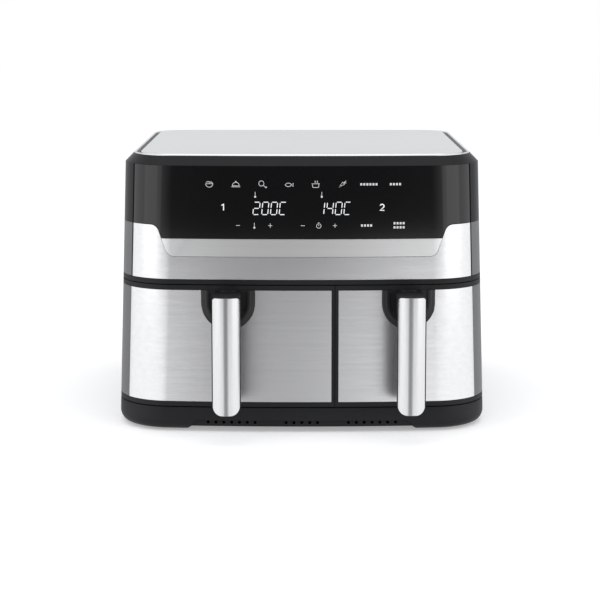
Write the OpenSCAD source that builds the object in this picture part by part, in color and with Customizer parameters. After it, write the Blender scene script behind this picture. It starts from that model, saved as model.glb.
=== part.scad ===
// Two-drawer countertop air fryer, in millimetres.
// X runs to the right, Y to the back and Z up. The origin is at the middle of the
// footprint, handles included, on the surface that the feet stand on.

/* [Body] */
// Width across the sides at the base
body_w = 386; // [340:1:470]
// Depth from the middle of the front face to the back, at the base
body_d = 372; // [330:1:460]
// Lean of the front face towards the back, in degrees
front_lean = 2.8; // [0:0.1:4]
// Lean of each side towards the middle, in degrees
side_lean = 1.8; // [0:0.1:3]
// Radius of the two front corners, seen from above
corner_r = 58; // [50:1:70]
// Radius of the two rear corners, seen from above
rear_r = 45; // [25:1:60]
// Radius of the bow of the front face, seen from above
bow_r = 1600; // [1200:10:4000]
// Angle round a front corner at which the front panels end
wrap = 53.5; // [46:0.5:58]
// Thickness of the moulded walls
wall = 2.5; // [2:0.1:3.5]
// Thickness of the grey side panels
side_t = 1.2; // [1:0.1:2]
// Thickness of the steel skins
skin_t = 0.8; // [0.6:0.1:1.2]
// Gap between two visible panels
seam = 0.6; // [0.3:0.1:1.2]

/* [Heights] */
// Height of the plinth above the surface
plinth_h = 26; // [22:1:32]
// Height of the shadow grooves above and below the drawer fronts
groove_h = 1; // [0.6:0.1:2]
// Height of the drawer fronts
front_h = 125.5; // [115:0.5:155]
// Height of the black lip above and below each steel drawer skin
lip_h = 5; // [3:0.5:8]
// Height of the black belt over the drawers
belt_h = 5; // [3:0.5:8]
// Height of the steel fascia under the bright strip
fascia_h = 23.5; // [18:0.5:30]
// Height of the bright strip
strip_h = 18; // [12:0.5:24]
// Height of the control panel above the bright strip
panel_h = 74.5; // [62:0.5:92]
// Height by which the control panel's ends stop above the bright strip
shoulder_h = 14; // [8:0.5:18]
// Height of the bevel round the top
bevel_h = 9; // [6:0.5:12]
// Width of the bevel round the top, seen from above
bevel_w = 8.5; // [6:0.5:12]

/* [Bright strip] */
// Half width of the strip along its upper edge
strip_half = 143.5; // [110:0.5:150]
// Slope of the strip's ends above the horizontal, in degrees
strip_slope = 70; // [60:1:80]
// Radius where the strip's ends round into its lower edge and the shoulders
strip_r = 9; // [4:0.5:12]

/* [Top] */
// Width of the silver rim round the top
rim_w = 2.4; // [1.5:0.1:4]
// Width of the dark channel between the rim and the top plate
channel_w = 4.5; // [1.5:0.1:5]
// Height of the top plate above the deck
plate_rise = 1.5; // [0.5:0.1:3]

/* [Plinth] */
// Radius of each rubber foot
foot_r = 11; // [8:0.5:14]
// Height of each rubber foot
foot_h = 4.5; // [3.5:0.5:7]
// Distance from the body's outline to a foot's centre
foot_in = 34; // [28:1:45]
// Height of the plinth's underside above the surface, between the feet
belly_h = 6; // [5:0.5:8]
// Radius of the air intake holes
vent_r = 1.6; // [1:0.1:2]
// Distance between neighbouring air intake holes
vent_pitch = 8.1; // [6:0.1:12]
// Distance between the middles of the groups of air intake holes
vent_group = 72.5; // [60:0.5:90]

/* [Zones] */
// Place of the line between the two drawers, right of the middle
divider_x = 34; // [20:1:45]
// Distance between the two cavity liners
divider_w = 10; // [8:1:16]
// Distance from the body's side at its base to the cavity liner
side_room = 19; // [18:0.5:26]
// Distance from the drawers' mouths to the centres of the front corners
mouth_lead = 23.921; // [14:0.001:26]
// Distance from the cavity liner to the back of the body
rear_room = 42; // [34:1:60]
// Thickness of the cavity liner's sheet
liner_t = 0.8; // [0.6:0.1:1.2]
// Height of the skids that a drawer slides on
skid_h = 3; // [2:0.5:5]
// Clearance between a sliding drawer and its skids
slide_gap = 0.3; // [0.2:0.1:0.6]

/* [Drawers] */
// Gap between a pan's wall and its cavity liner
pan_gap = 5.5; // [4:0.5:8]
// Width of the rolled rim outside a pan's wall
pan_rim = 3; // [2:0.5:3.5]
// Thickness of a pan's wall
pan_t = 1.5; // [1:0.1:2.5]
// Radius of a pan's upright corners
pan_r = 24; // [15:1:30]
// Height of a pan
pan_h = 104; // [90:1:110]
// Free depth behind a pan
pan_rear = 12; // [8:1:20]
// Height of a tray above the pan's floor
tray_lift = 8; // [5:0.5:14]
// Thickness of a tray's plate
tray_t = 3; // [2:0.1:4]
// Height of a tray's ribs
rib_h = 3; // [2:0.1:5]
// Gap between a tray and its pan's wall
tray_gap = 1.5; // [1:0.1:3]

/* [Handles] */
// Distance from a zone's middle outwards to its handle
handle_out = 3; // [0:0.5:6]
// Distance from the drawer's face to the front of the handle
handle_reach = 61; // [50:1:70]
// Width of a handle's steel cover
cover_w = 27; // [22:0.5:34]
// Depth of the cover's curve
cover_sag = 6.5; // [4:0.5:8]
// Thickness of the cover
cover_t = 1.2; // [0.8:0.1:1.6]
// Width of the black edge on each side of the cover
edge_w = 0.9; // [0.4:0.1:2]
// Distance from the steel's upper edge down to the top of a handle
handle_drop = 1; // [0.5:0.5:10]
// Length of a handle
handle_l = 118; // [95:1:122]
// Thickness of the grip, front to back
grip_d = 19; // [15:0.5:24]
// Height of the arm that joins the grip to the drawer
arm_h = 21; // [16:0.5:28]
// Radius of the round lower corners of the grip
grip_r = 9; // [4:0.5:12]
// Radius of the round lower end of the plate behind the handle
plate_r = 27.25; // [22:0.25:30]
// Height of the plate's straight part
plate_h = 13; // [8:0.5:20]
// Height by which the plate stands proud of the drawer's face
plate_proud = 1.5; // [0.5:0.1:3]

/* [Heating] */
// Radius of the dome over each cavity that holds the coil and fan
dome_r = 54; // [52:1:60]
// Height of the dome
dome_h = 41; // [38:1:46]
// Radius of the heating coil
coil_r = 46; // [40:1:48]
// Radius of the coil's tube
coil_tube = 3.25; // [2.5:0.25:4]
// Radius of the circulation fan
fan_r = 42; // [34:1:46]
// Radius of the motor's shaft
shaft_r = 3; // [2.5:0.5:4]
// Running clearance round the shaft in its motor
shaft_gap = 0.08; // [0.02:0.01:0.09]
// Radius of the motor
motor_r = 29; // [24:1:34]
// Height of the motor
motor_h = 36; // [28:1:38]

/* [Back] */
// Half width of the rear cover
cover_half = 140; // [110:1:145]
// Height of the rear cover
rear_h = 150; // [120:1:160]
// Depth of the rear cover behind the body
rear_proud = 8; // [5:0.5:12]
// Radius of the mains cord's hole
cord_r = 4; // [3:0.1:5]
// Length of the mains cord's bush
bush_l = 16; // [12:0.5:20]

/* [Hidden] */
$fn = 64;
eps = 0.01;
joint_gap = 0.05;
mouth_gap = 4;
plate_edge = plate_r - 4;
frame_in = skin_t + wall + joint_gap;

// Heights of the levels, from the surface up
drawer_z0 = plinth_h + groove_h;
drawer_z1 = drawer_z0 + front_h;
steel_z0 = drawer_z0 + lip_h;
steel_z1 = drawer_z1 - lip_h;
belt_z0 = drawer_z1 + groove_h;
fascia_z0 = belt_z0 + belt_h;
strip_z0 = fascia_z0 + fascia_h;
strip_z1 = strip_z0 + strip_h;
shoulder_z = strip_z1 + shoulder_h;
panel_z1 = strip_z1 + panel_h;
deck_z = panel_z1 + bevel_h;
liner_z0 = steel_z0;
liner_z1 = drawer_z1 - 1.5;
pan_z0 = liner_z0 + liner_t + skid_h + slide_gap;
pan_z1 = pan_z0 + pan_h;
tray_z0 = pan_z0 + pan_t + tray_lift;
dome_z1 = liner_z1 + dome_h;
shield_z = dome_z1 + 11;
motor_z0 = shield_z + 5;
motor_z1 = motor_z0 + motor_h;
shaft_z0 = liner_z1 + 20;
shaft_z1 = motor_z1 + 15;

// Zones, left then right
zone_in = body_w / 2 - side_room;
zone_x0 = [-zone_in, divider_x + divider_w / 2];
zone_x1 = [divider_x - divider_w / 2, zone_in];
function zone_x(s) = (zone_x0[s] + zone_x1[s]) / 2;
function handle_x(s) = zone_x(s) + (s == 0 ? -handle_out : handle_out);

handle_top = steel_z1 - handle_drop;
handle_z = handle_top - handle_l;
plate_zc = steel_z1 - plate_h;

// Depths. The handle's front and the rear cover set the footprint's middle.
blend = asin(corner_x(0) / (bow_r - corner_r));
function bow_y(x) = bow_r - sqrt(bow_r * bow_r - x * x);
handle_front = handle_reach * cos(front_lean) - handle_z * sin(front_lean)
    - min(bow_y(handle_x(0)), bow_y(handle_x(1)));
front_y = (handle_front - body_d - rear_proud) / 2;
back_y = front_y + body_d;
mouth_y = corner_y(0) - mouth_lead;
frame_y = mouth_y - mouth_gap;
liner_y0 = mouth_y + wall;
liner_y1 = back_y - rear_room;
pan_y1 = liner_y1 - pan_rear;
fan_y = (liner_y0 + liner_y1) / 2;
edge_t = wrap - seam / corner_r * 90 / PI;

// ---------------------------------------------------------------- the body's outline
// A station t runs round the body from the middle of the front: up to 90 it is the
// angle round the bow and the front corner, to 100 the side and to 190 the rear corner.
// A negative t is the left half. The bow meets the corners at the same angle at every
// height, so its radius gives way a little with the lean of the sides.

function half_w(z) = body_w / 2 - z * tan(side_lean);
function face_y(z) = front_y + z * tan(front_lean);
function corner_x(z) = half_w(z) - corner_r;
function bow_at(z) = corner_r + corner_x(z) / sin(blend);
function corner_y(z) = face_y(z) + bow_at(z) - (bow_at(z) - corner_r) * cos(blend);
function rear_x(z) = half_w(z) - rear_r;

function bow_point(t, z, in) =
    [(bow_at(z) - in) * sin(t), face_y(z) + bow_at(z) - (bow_at(z) - in) * cos(t)];
function corner_point(t, z, in) =
    [sign(t) * corner_x(z) + (corner_r - in) * sin(t),
     corner_y(z) - (corner_r - in) * cos(t)];
function side_point(t, z, in) =
    [sign(t) * (half_w(z) - in),
     corner_y(z) + (back_y - rear_r - corner_y(z)) * (abs(t) - 90) / 10];
function rear_point(t, z, in) =
    [sign(t) * (rear_x(z) + (rear_r - in) * cos(abs(t) - 100)),
     back_y - rear_r + (rear_r - in) * sin(abs(t) - 100)];
function outline_point(t, z, in) =
    abs(t) <= blend ? bow_point(t, z, in)
    : abs(t) <= 90 ? corner_point(t, z, in)
    : abs(t) <= 100 ? side_point(t, z, in)
    : rear_point(t, z, in);

half_grid = concat([for (i = [1:4]) i * blend / 4],
    [for (i = [1:10]) blend + i * (90 - blend) / 10], [for (i = [0:9]) 100 + i * 10]);
grid = concat([for (i = [len(half_grid) - 1:-1:0]) -half_grid[i]], [0], half_grid);
function stations(t0, t1) =
    concat([t0], [for (g = grid) if (g > t0 + 0.3 && g < t1 - 0.3) g], [t1]);
function at_height(p, z) = [p[0], p[1], z];

// A closed solid through whole outlines; each level is [height, inset].
module solid_loft(levels) {
    n = len(grid);
    points = [for (l = levels) for (t = grid) at_height(outline_point(t, l[0], l[1]), l[0])];
    sides = [for (k = [0:len(levels) - 2]) for (i = [0:n - 1])
        let (j = (i + 1) % n, a = k * n + i, b = k * n + j)
        each [[a, a + n, b + n], [a, b + n, b]]];
    top = (len(levels) - 1) * n;
    polyhedron(points, concat(sides, [[for (i = [0:n - 1]) i]],
        [[for (i = [n - 1:-1:0]) top + i]]));
}

// A bent slab along the outline from t0 to t1; each level is [height, outer, inner].
module bent_slab(t0, t1, levels) {
    ts = stations(t0, t1);
    n = len(ts);
    m = len(levels) - 1;
    points = [for (l = levels) for (q = [1, 2]) for (t = ts)
        at_height(outline_point(t, l[0], l[q]), l[0])];
    function out(k, i) = k * 2 * n + i;
    function inn(k, i) = k * 2 * n + n + i;
    walls = [for (k = [0:m - 1]) for (i = [0:n - 2]) each [
        [out(k, i), out(k + 1, i), out(k + 1, i + 1)],
        [out(k, i), out(k + 1, i + 1), out(k, i + 1)],
        [inn(k, i), inn(k, i + 1), inn(k + 1, i + 1)],
        [inn(k, i), inn(k + 1, i + 1), inn(k + 1, i)]]];
    caps = [for (i = [0:n - 2]) each [
        [out(0, i), out(0, i + 1), inn(0, i + 1)],
        [out(0, i), inn(0, i + 1), inn(0, i)],
        [out(m, i), inn(m, i), inn(m, i + 1)],
        [out(m, i), inn(m, i + 1), out(m, i + 1)]]];
    ends = [for (k = [0:m - 1]) each [
        [inn(k + 1, 0), out(k + 1, 0), out(k, 0)],
        [inn(k + 1, 0), out(k, 0), inn(k, 0)],
        [out(k + 1, n - 1), inn(k + 1, n - 1), inn(k, n - 1)],
        [out(k + 1, n - 1), inn(k, n - 1), out(k, n - 1)]]];
    polyhedron(points, concat(walls, caps, ends));
}

// The same slab between two heights, at constant insets
module skin(t0, t1, z0, z1, outer, inner) {
    bent_slab(t0, t1, [[z0, outer, inner], [z1, outer, inner]]);
}

// A flat outline drawn in X and Z, carried through the whole front
module through_front() {
    translate([0, front_y + 70, 0]) rotate([90, 0, 0]) linear_extrude(90) children();
}

// A box given by its lowest and highest corners
module box(low, high) {
    translate(low) cube(high - low);
}

// A flat rectangle with round corners, as true arcs
module round_rect(x0, x1, y0, y1, r) {
    translate([x0 + r, y0]) square([x1 - x0 - 2 * r, y1 - y0]);
    translate([x0, y0 + r]) square([x1 - x0, y1 - y0 - 2 * r]);
    for (x = [x0 + r, x1 - r], y = [y0 + r, y1 - r]) translate([x, y]) circle(r);
}

module upright(z0, z1) {
    translate([0, 0, z0]) linear_extrude(z1 - z0) children();
}

// Outline of the control panel and bright strip, grown by g all round
function arc(c, r, a0, a1, n) =
    [for (i = [0:n]) let (a = a0 + (a1 - a0) * i / n) [c[0] + r * cos(a), c[1] + r * sin(a)]];
function strip_x(z) = strip_half + (z - strip_z1) / tan(strip_slope);
function bib_half(g) =
    let (lean = 90 - strip_slope, reach = strip_r * tan(strip_slope / 2))
    concat(
        arc([strip_x(strip_z0) - reach, strip_z0 + strip_r], strip_r + g, -90, -lean, 6),
        arc([strip_x(shoulder_z) + reach, shoulder_z - strip_r], strip_r - g, 180 - lean, 90, 6));
module bib(g) {
    right = bib_half(g);
    polygon(concat(right,
        [[body_w, shoulder_z - g], [body_w, deck_z + 50], [-body_w, deck_z + 50],
         [-body_w, shoulder_z - g]],
        [for (i = [len(right) - 1:-1:0]) [-right[i][0], right[i][1]]]));
}

// ---------------------------------------------------------------- the base
module base_pan() {
    foot_floor = 2;
    color("#2c2d2e") difference() {
        solid_loft([[foot_floor, 9], [4, 4.5], [8, 1.5], [13, 0], [plinth_h, 0]]);
        solid_loft([[belly_h + 2.2, wall + 1.2], [plinth_h + 1, wall + 1.2]]);
        raised_belly();
        front_recess();
        at_feet() translate([0, 0, foot_floor - 1]) cylinder(r = foot_r + joint_gap,
            h = foot_h - foot_floor + 1);
        intake_holes();
        at_base_screws() cylinder(r = 1.8, h = 40);
    }
}

lobe = 70;
module raised_belly() {
    through_front_all(body_d) polygon([[-half_w(0) + lobe, -1], [half_w(0) - lobe, -1],
        [half_w(0) - lobe - belly_h, belly_h], [-half_w(0) + lobe + belly_h, belly_h]]);
    rotate([0, 0, 90]) rotate([90, 0, 0]) translate([0, 0, -body_w])
        linear_extrude(2 * body_w) polygon([[front_y + lobe, -1], [back_y - lobe, -1],
            [back_y - lobe - belly_h, belly_h], [front_y + lobe + belly_h, belly_h]]);
}

// Carries a flat outline in X and Z through a given depth
module through_front_all(depth) {
    translate([0, front_y + depth + 20, 0]) rotate([90, 0, 0])
        linear_extrude(depth + 40) children();
}

module front_recess() {
    edge = half_w(0) - lobe;
    intersection() {
        skin(-edge_t, edge_t, 1, 12.6, -2, 1.9);
        through_front() polygon([[-edge, 0], [edge, 0], [edge - 15, 13], [-edge + 15, 13]]);
    }
}

module intake_holes() {
    for (g = [-1:1]) let (n = g == 0 ? 2 : 3) for (i = [-n:n])
        translate([g * vent_group + i * vent_pitch, front_y - 10, belly_h + 4.2])
            rotate([-90, 0, 0]) cylinder(r = vent_r, h = 40);
}

module at_feet() {
    for (x = [-1, 1], y = [front_y + foot_in + 8, back_y - foot_in])
        translate([x * (half_w(0) - foot_in), y, 0]) children();
}

module at_base_screws() {
    for (x = [-1, 1], y = [front_y + 110, back_y - 110])
        translate([x * (half_w(0) - 14), y, 0]) children();
}

module rubber_feet() {
    color("#1b1b1c") at_feet() cylinder(r = foot_r, h = foot_h);
}

// ---------------------------------------------------------------- shell and side panels
module body_shell() {
    color("#26272a") difference() {
        union() {
            solid_loft([[drawer_z0, side_t], [shoulder_z, side_t]]);
            solid_loft([[drawer_z0, 0], [steel_z0 - seam / 2, 0]]);
            solid_loft([[steel_z1 + seam / 2, 0], [drawer_z1, 0]]);
            solid_loft([[belt_z0, 0], [fascia_z0 - seam / 2, 0]]);
            rear_blocks();
        }
        solid_loft([[drawer_z0 - 1, side_t + wall], [shoulder_z + 1, side_t + wall]]);
        skin(-wrap, wrap, drawer_z0 - 1, shoulder_z + 1, -2, 30);
        rear_opening();
        at_rear_screws() rotate([90, 0, 0]) cylinder(r = 1.6, h = 30, center = true);
        translate([cord_x, back_y, cord_z]) rotate([90, 0, 0])
            cylinder(r = cord_r + 5 + joint_gap, h = 20, center = true);
    }
}

// The corners of the shell behind the side panels come out to the full outline
module rear_blocks() {
    difference() {
        solid_loft([[drawer_z0, 0], [shoulder_z, 0]]);
        box([-body_w, front_y - 10, 0], [body_w, back_y - rear_r + seam, deck_z]);
    }
}

cord_x = 118;
cord_z = 44;
rear_z0 = drawer_z0 + 33;
module rear_opening() {
    box([-cover_half + 20, back_y - 20, rear_z0 + 16],
        [cover_half - 20, back_y + 10, rear_z0 + rear_h - 16]);
}

// One grey panel; side is -1 on the left and 1 on the right
module side_panel(side, z0, z1) {
    t0 = wrap + seam / corner_r * 90 / PI;
    color("#5d5f62") {
        if (side > 0) skin(t0, 100, z0, z1, 0, side_t - joint_gap);
        else skin(-100, -t0, z0, z1, 0, side_t - joint_gap);
    }
}

// ---------------------------------------------------------------- back
module at_rear_screws() {
    for (x = [-1, 1], z = [rear_z0 + 10, rear_z0 + rear_h - 10])
        translate([x * (cover_half - 10), back_y, z]) children();
}

module rear_cover() {
    r = 16;
    color("#2c2d2e") difference() {
        translate([0, back_y + rear_proud, 0]) rotate([90, 0, 0])
            linear_extrude(rear_proud)
                round_rect(-cover_half, cover_half, rear_z0, rear_z0 + rear_h, r);
        translate([0, back_y + rear_proud - wall, 0]) rotate([90, 0, 0])
            linear_extrude(rear_proud)
                round_rect(-cover_half + 20, cover_half - 20, rear_z0 + 16,
                    rear_z0 + rear_h - 16, r - 6);
        for (x = [-1, 1], i = [0:11])
            box([x * 58 - 46, back_y - 5, rear_z0 + 26 + i * 8.6],
                [x * 58 + 46, back_y + rear_proud + 5, rear_z0 + 26 + i * 8.6 + 4]);
        at_rear_screws() rotate([-90, 0, 0]) cylinder(r = 1.8, h = 40, center = true);
    }
}

// The mains cord's bush, a flanged sleeve set in the back wall
module cord_bush() {
    color("#161617") translate([cord_x, back_y, cord_z]) rotate([-90, 0, 0])
        difference() {
            union() {
                translate([0, 0, rear_proud - bush_l]) cylinder(r = cord_r + 5, h = bush_l);
                cylinder(r = cord_r + 8, h = 3);
                translate([0, 0, -side_t - wall - 3]) cylinder(r = cord_r + 7, h = 2.5);
            }
            translate([0, 0, -bush_l]) cylinder(r = cord_r, h = 2 * bush_l);
        }
}

// ---------------------------------------------------------------- top
rim_in = bevel_w + 0.4;
plate_in = rim_in + rim_w + channel_w;
module top_housing() {
    inner = wall + 0.9;
    color("#141516") difference() {
        union() {
            difference() {
                solid_loft([[shoulder_z, 0], [panel_z1, 0]]);
                skin(-wrap, wrap, shoulder_z - 1, panel_z1 + 1, -1, 1.6);
            }
            solid_loft([[panel_z1, 0], [deck_z, bevel_w]]);
            skin(-edge_t, edge_t, fascia_z0, shoulder_z, 1.6, side_t + wall);
        }
        solid_loft([[shoulder_z - 1, inner], [panel_z1 - 4, inner], [deck_z - 5.5, bevel_w + 4]]);
        solid_loft([[deck_z - 2.5, plate_in - 1], [deck_z + 1, plate_in - 1]]);
        box([-112, front_y - 10, strip_z1 + 6], [112, front_y + 40, panel_z1 - 8]);
    }
}

module silver_rim() {
    color("#c9cbcd") difference() {
        solid_loft([[deck_z, rim_in], [deck_z + 1.2, rim_in + 0.6]]);
        solid_loft([[deck_z - 1, rim_in + rim_w], [deck_z + 2, rim_in + rim_w]]);
    }
}

module top_plate() {
    top = deck_z + plate_rise;
    sheet = 1.2;
    color("#c4c6c9") difference() {
        solid_loft([[deck_z - 2.5 + joint_gap, plate_in], [top - 1.2, plate_in],
            [top - 0.4, plate_in + 0.5], [top, plate_in + 1.6]]);
        solid_loft([[deck_z - 3, plate_in + sheet], [top - sheet, plate_in + sheet]]);
    }
}

// ---------------------------------------------------------------- front, above the drawers
module control_panel() {
    color("#101112") intersection() {
        skin(-edge_t, edge_t, strip_z1 + 0.2, panel_z1 - joint_gap, 0, 1.5);
        through_front() bib(0);
    }
}

module bright_strip() {
    color("#c9cacc") intersection() {
        skin(-edge_t, edge_t, strip_z0, strip_z1, -0.3, 1.5);
        through_front() bib(0);
    }
}

module front_fascia() {
    color("#b9bbbe") difference() {
        skin(-edge_t, edge_t, fascia_z0, shoulder_z - 0.3, 0, 1.5);
        through_front() bib(0.3);
    }
}

module control_board() {
    y = face_y(panel_z1) + 12;
    color("#1f5136") box([-104, y, strip_z1 + 8], [104, y + 1.6, panel_z1 - 10]);
    color("#0c0c0d") for (x = [-34, 36])
        box([x - 24, y - 6, strip_z1 + 24], [x + 24, y, strip_z1 + 42]);
    color("#3c3f42") for (x = [-90, -65, 65, 90])
        translate([x, y, strip_z1 + 52]) rotate([90, 0, 0]) cylinder(r = 5, h = 5);
    color("#202123") box([-20, y + 1.6, strip_z1 + 14], [16, y + 6, strip_z1 + 34]);
}

// ---------------------------------------------------------------- cavities
// The plate round both drawer mouths, with the belt over the drawers and the two
// shelves that close the recess above and below them
shelf_t = 2.2;
module mouth_frame() {
    in = side_t + wall + 0.3;
    low = plinth_h - 0.4 - shelf_t;
    color("#26272a") difference() {
        union() {
            skin(-edge_t, edge_t, belt_z0, fascia_z0 - seam / 2, 0, in + 1);
            intersection() {
                union() {
                    box([-body_w, mouth_y, low], [body_w, liner_y0, fascia_z0 - 1]);
                    box([-body_w, front_y - 5, fascia_z0 - 1 - shelf_t],
                        [body_w, liner_y0, fascia_z0 - 1]);
                    box([-body_w, front_y - 5, low], [body_w, liner_y0, low + shelf_t]);
                }
                solid_loft([[low, in], [fascia_z0, in]]);
            }
        }
        for (s = [0, 1])
            box([zone_x0[s] + liner_t, mouth_y - 5, liner_z0 + liner_t],
                [zone_x1[s] - liner_t, liner_y0 + 5, liner_z1 - liner_t]);
    }
}

// The coil's leads rise outside the fan; the probe stands beside them
lead_x = 12;
lead_y = sqrt(pow(max(coil_r, fan_r + coil_tube + 1), 2) - lead_x * lead_x);
probe_at = [-40, -25];

// Middle of the air outlet behind each cavity
outlet_half = 24;
function outlet_x(s) = zone_x(s) + (s == 0 ? 12 : -12);

module liner(s) {
    x = zone_x(s);
    color("#8e9092") difference() {
        union() {
            box([zone_x0[s], liner_y0, liner_z0], [zone_x1[s], liner_y1, liner_z1]);
            translate([x, fan_y, liner_z1 - 1]) cylinder(r = dome_r, h = dome_h + 1);
        }
        box([zone_x0[s] + liner_t, liner_y0 - 5, liner_z0 + liner_t],
            [zone_x1[s] - liner_t, liner_y1 - liner_t, liner_z1 - liner_t]);
        translate([x, fan_y, liner_z1 - 5]) cylinder(r = dome_r - liner_t, h = dome_h + 5 - liner_t);
        translate([x, fan_y, dome_z1 - 5]) cylinder(r = shaft_r + 1.2, h = 10);
        for (t = [-1, 1]) translate([x + t * lead_x, fan_y + lead_y, dome_z1 - 5])
            cylinder(r = coil_tube + 0.5, h = 10);
        translate([x + probe_at[0], fan_y + probe_at[1], dome_z1 - 5]) cylinder(r = 3.5, h = 10);
        for (i = [0:4]) let (z = liner_z1 - 36 + i * 5)
            box([outlet_x(s) - outlet_half + 3, liner_y1 - 5, z],
                [outlet_x(s) + outlet_half - 3, liner_y1 + 5, z + 3]);
    }
    color("#8e9092") for (t = [-1, 1])
        translate([x + t * (zone_x1[s] - zone_x0[s]) / 4, liner_y0 + 4, liner_z0 + liner_t - eps])
            translate([-3, 0, 0]) cube([6, liner_y1 - liner_y0 - 20, skid_h + eps]);
}

module coil(s) {
    z = liner_z1 + 9;
    color("#4b4c4e") translate([zone_x(s), fan_y, z]) {
        for (r = [coil_r, coil_r - 12, coil_r - 24])
            rotate_extrude() translate([r, 0]) circle(coil_tube);
        for (a = [90, 270]) rotate([0, 0, a]) translate([coil_r - 24, 0, 0])
            rotate([0, 90, 0]) cylinder(r = coil_tube * 0.8, h = 24);
        for (t = [-1, 1]) translate([t * lead_x, lead_y, 0])
            cylinder(r = coil_tube * 0.9, h = dome_h + 2);
    }
}

module coil_guard(s) {
    z = liner_z1 - liner_t - 2.2;
    r = dome_r - 2;
    color("#9a9c9e") translate([zone_x(s), fan_y, z]) {
        difference() {
            cylinder(r = r, h = 2);
            translate([0, 0, -1]) cylinder(r = r - 3, h = 4);
        }
        for (k = [1:3]) difference() {
            cylinder(r = r * k / 4 + 1, h = 2);
            translate([0, 0, -1]) cylinder(r = r * k / 4 - 1, h = 4);
        }
        for (a = [0, 60, 120]) rotate([0, 0, a])
            translate([-r + 1, -1, 0.4]) cube([2 * r - 2, 2, 1.2]);
    }
}

module heat_shield() {
    x0 = -zone_in + 8;
    x1 = zone_in - 8;
    y0 = fan_y - 95;
    y1 = fan_y + 95;
    color("#a3a5a7") difference() {
        union() {
            box([x0, y0, shield_z], [x1, y1, shield_z + 1]);
            for (x = [x0, zone_x1[0] - 6, x1 - 1])
                box([x, y0, liner_z1 + joint_gap], [x + 1, y1, shield_z + 1]);
        }
        for (s = [0, 1]) {
            translate([zone_x(s), fan_y, shield_z - 5]) cylinder(r = shaft_r + 1.2, h = 10);
            at_motor_feet(s) translate([0, 0, shield_z - 5]) cylinder(r = 2.2, h = 10);
        }
    }
}

// ---------------------------------------------------------------- motors and fans
module at_motor_feet(s) {
    for (a = [30, 150, 270]) translate([zone_x(s), fan_y, 0]) rotate([0, 0, a])
        translate([motor_r + 3, 0, 0]) children();
}

module motor(s) {
    stack = motor_h - 16;
    color("#8b8d90") difference() {
        union() {
            translate([zone_x(s), fan_y, motor_z0]) cylinder(r = motor_r - 3, h = motor_h);
            translate([zone_x(s), fan_y, motor_z0 + 8]) cylinder(r = motor_r, h = stack);
            for (a = [30, 150, 270]) translate([zone_x(s), fan_y, motor_z0]) rotate([0, 0, a])
                translate([motor_r - 6, -5, 0]) cube([14, 10, 2.5]);
        }
        translate([zone_x(s), fan_y, motor_z0 - 5])
            cylinder(r = shaft_r + shaft_gap, h = motor_h + 10);
        at_motor_feet(s) translate([0, 0, motor_z0 - 5]) cylinder(r = 2.2, h = 12);
    }
}

// Rubber bushes between each motor and the heat shield
module motor_mounts() {
    color("#1b1b1c") for (s = [0, 1]) at_motor_feet(s)
        translate([0, 0, shield_z + 1]) difference() {
            cylinder(r = 5, h = motor_z0 - shield_z - 1);
            translate([0, 0, -1]) cylinder(r = 2.2, h = 10);
        }
}

module shaft(s) {
    color("#c9cbcd") translate([zone_x(s), fan_y, shaft_z0])
        cylinder(r = shaft_r, h = shaft_z1 - shaft_z0);
}

module impeller(s) {
    color("#a3a5a7") translate([zone_x(s), fan_y, shaft_z0 + 2]) difference() {
        union() {
            cylinder(r = 8, h = 13);
            translate([0, 0, 12]) cylinder(r = fan_r, h = 1);
            for (a = [0:30:330]) rotate([0, 0, a]) translate([14, 0, 2])
                rotate([0, 0, 18]) translate([0, -0.5, 0]) cube([fan_r - 16, 1, 10.5]);
        }
        translate([0, 0, -1]) cylinder(r = shaft_r, h = 20);
    }
}

module cooling_fan(s) {
    color("#3c3f42") translate([zone_x(s), fan_y, motor_z1 + 3]) difference() {
        union() {
            cylinder(r = 9, h = 11);
            for (a = [0:40:320]) rotate([0, 0, a]) translate([7, 0, 5.5])
                rotate([32, 0, 0]) translate([0, -6, -0.6]) cube([30, 12, 1.2]);
        }
        translate([0, 0, -1]) cylinder(r = shaft_r, h = 20);
    }
}

// ---------------------------------------------------------------- electrics
module temperature_probes() {
    color("#c9a24a") for (s = [0, 1])
        translate([zone_x(s) + probe_at[0], fan_y + probe_at[1], 0]) {
        translate([0, 0, dome_z1 - 8]) cylinder(r = 2.5, h = 14);
        translate([0, 0, dome_z1 + joint_gap]) cylinder(r = 5, h = 2);
    }
}

module thermal_cutouts() {
    color("#d8d3c6") for (s = [0, 1])
        translate([zone_x(s) + 28, fan_y + 8, dome_z1 + joint_gap]) {
            cylinder(r = 8, h = 6);
            for (t = [-1, 1]) translate([t * 4 - 2, -0.4, 6 - eps]) cube([4, 0.8, 3.5]);
        }
}

module power_board() {
    y = liner_y1 + 8;
    z = shoulder_z - 8;
    color("#1f5136") box([-70, y, z], [70, y + 1.6, z + 58]);
    color("#23252a") for (x = [-46, -8])
        translate([x, y, z + 36]) rotate([90, 0, 0]) cylinder(r = 9, h = 20);
    color("#2d5fa8") for (x = [24, 48]) box([x - 9, y - 16, z + 12], [x + 9, y, z + 40]);
    color("#9a9c9e") box([-66, y - 14, z + 6], [-26, y, z + 20]);
}

// Reed switches over the two drawer mouths, closed by the magnets in the drawers
magnet_out = 30;
module drawer_switches() {
    color("#d8d3c6") for (s = [0, 1])
        box([zone_x(s) + magnet_out, liner_y0 + joint_gap, liner_z1 + 0.5],
            [zone_x(s) + magnet_out + 14, liner_y0 + 9, liner_z1 + 5.5]);
}

module magnet(s) {
    color("#8b8d90")
        box([zone_x(s) + magnet_out + 1, frame_y - 9, drawer_z1 - wall - 6.1],
            [zone_x(s) + magnet_out + 13, frame_y - joint_gap, drawer_z1 - wall - joint_gap]);
}

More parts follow.
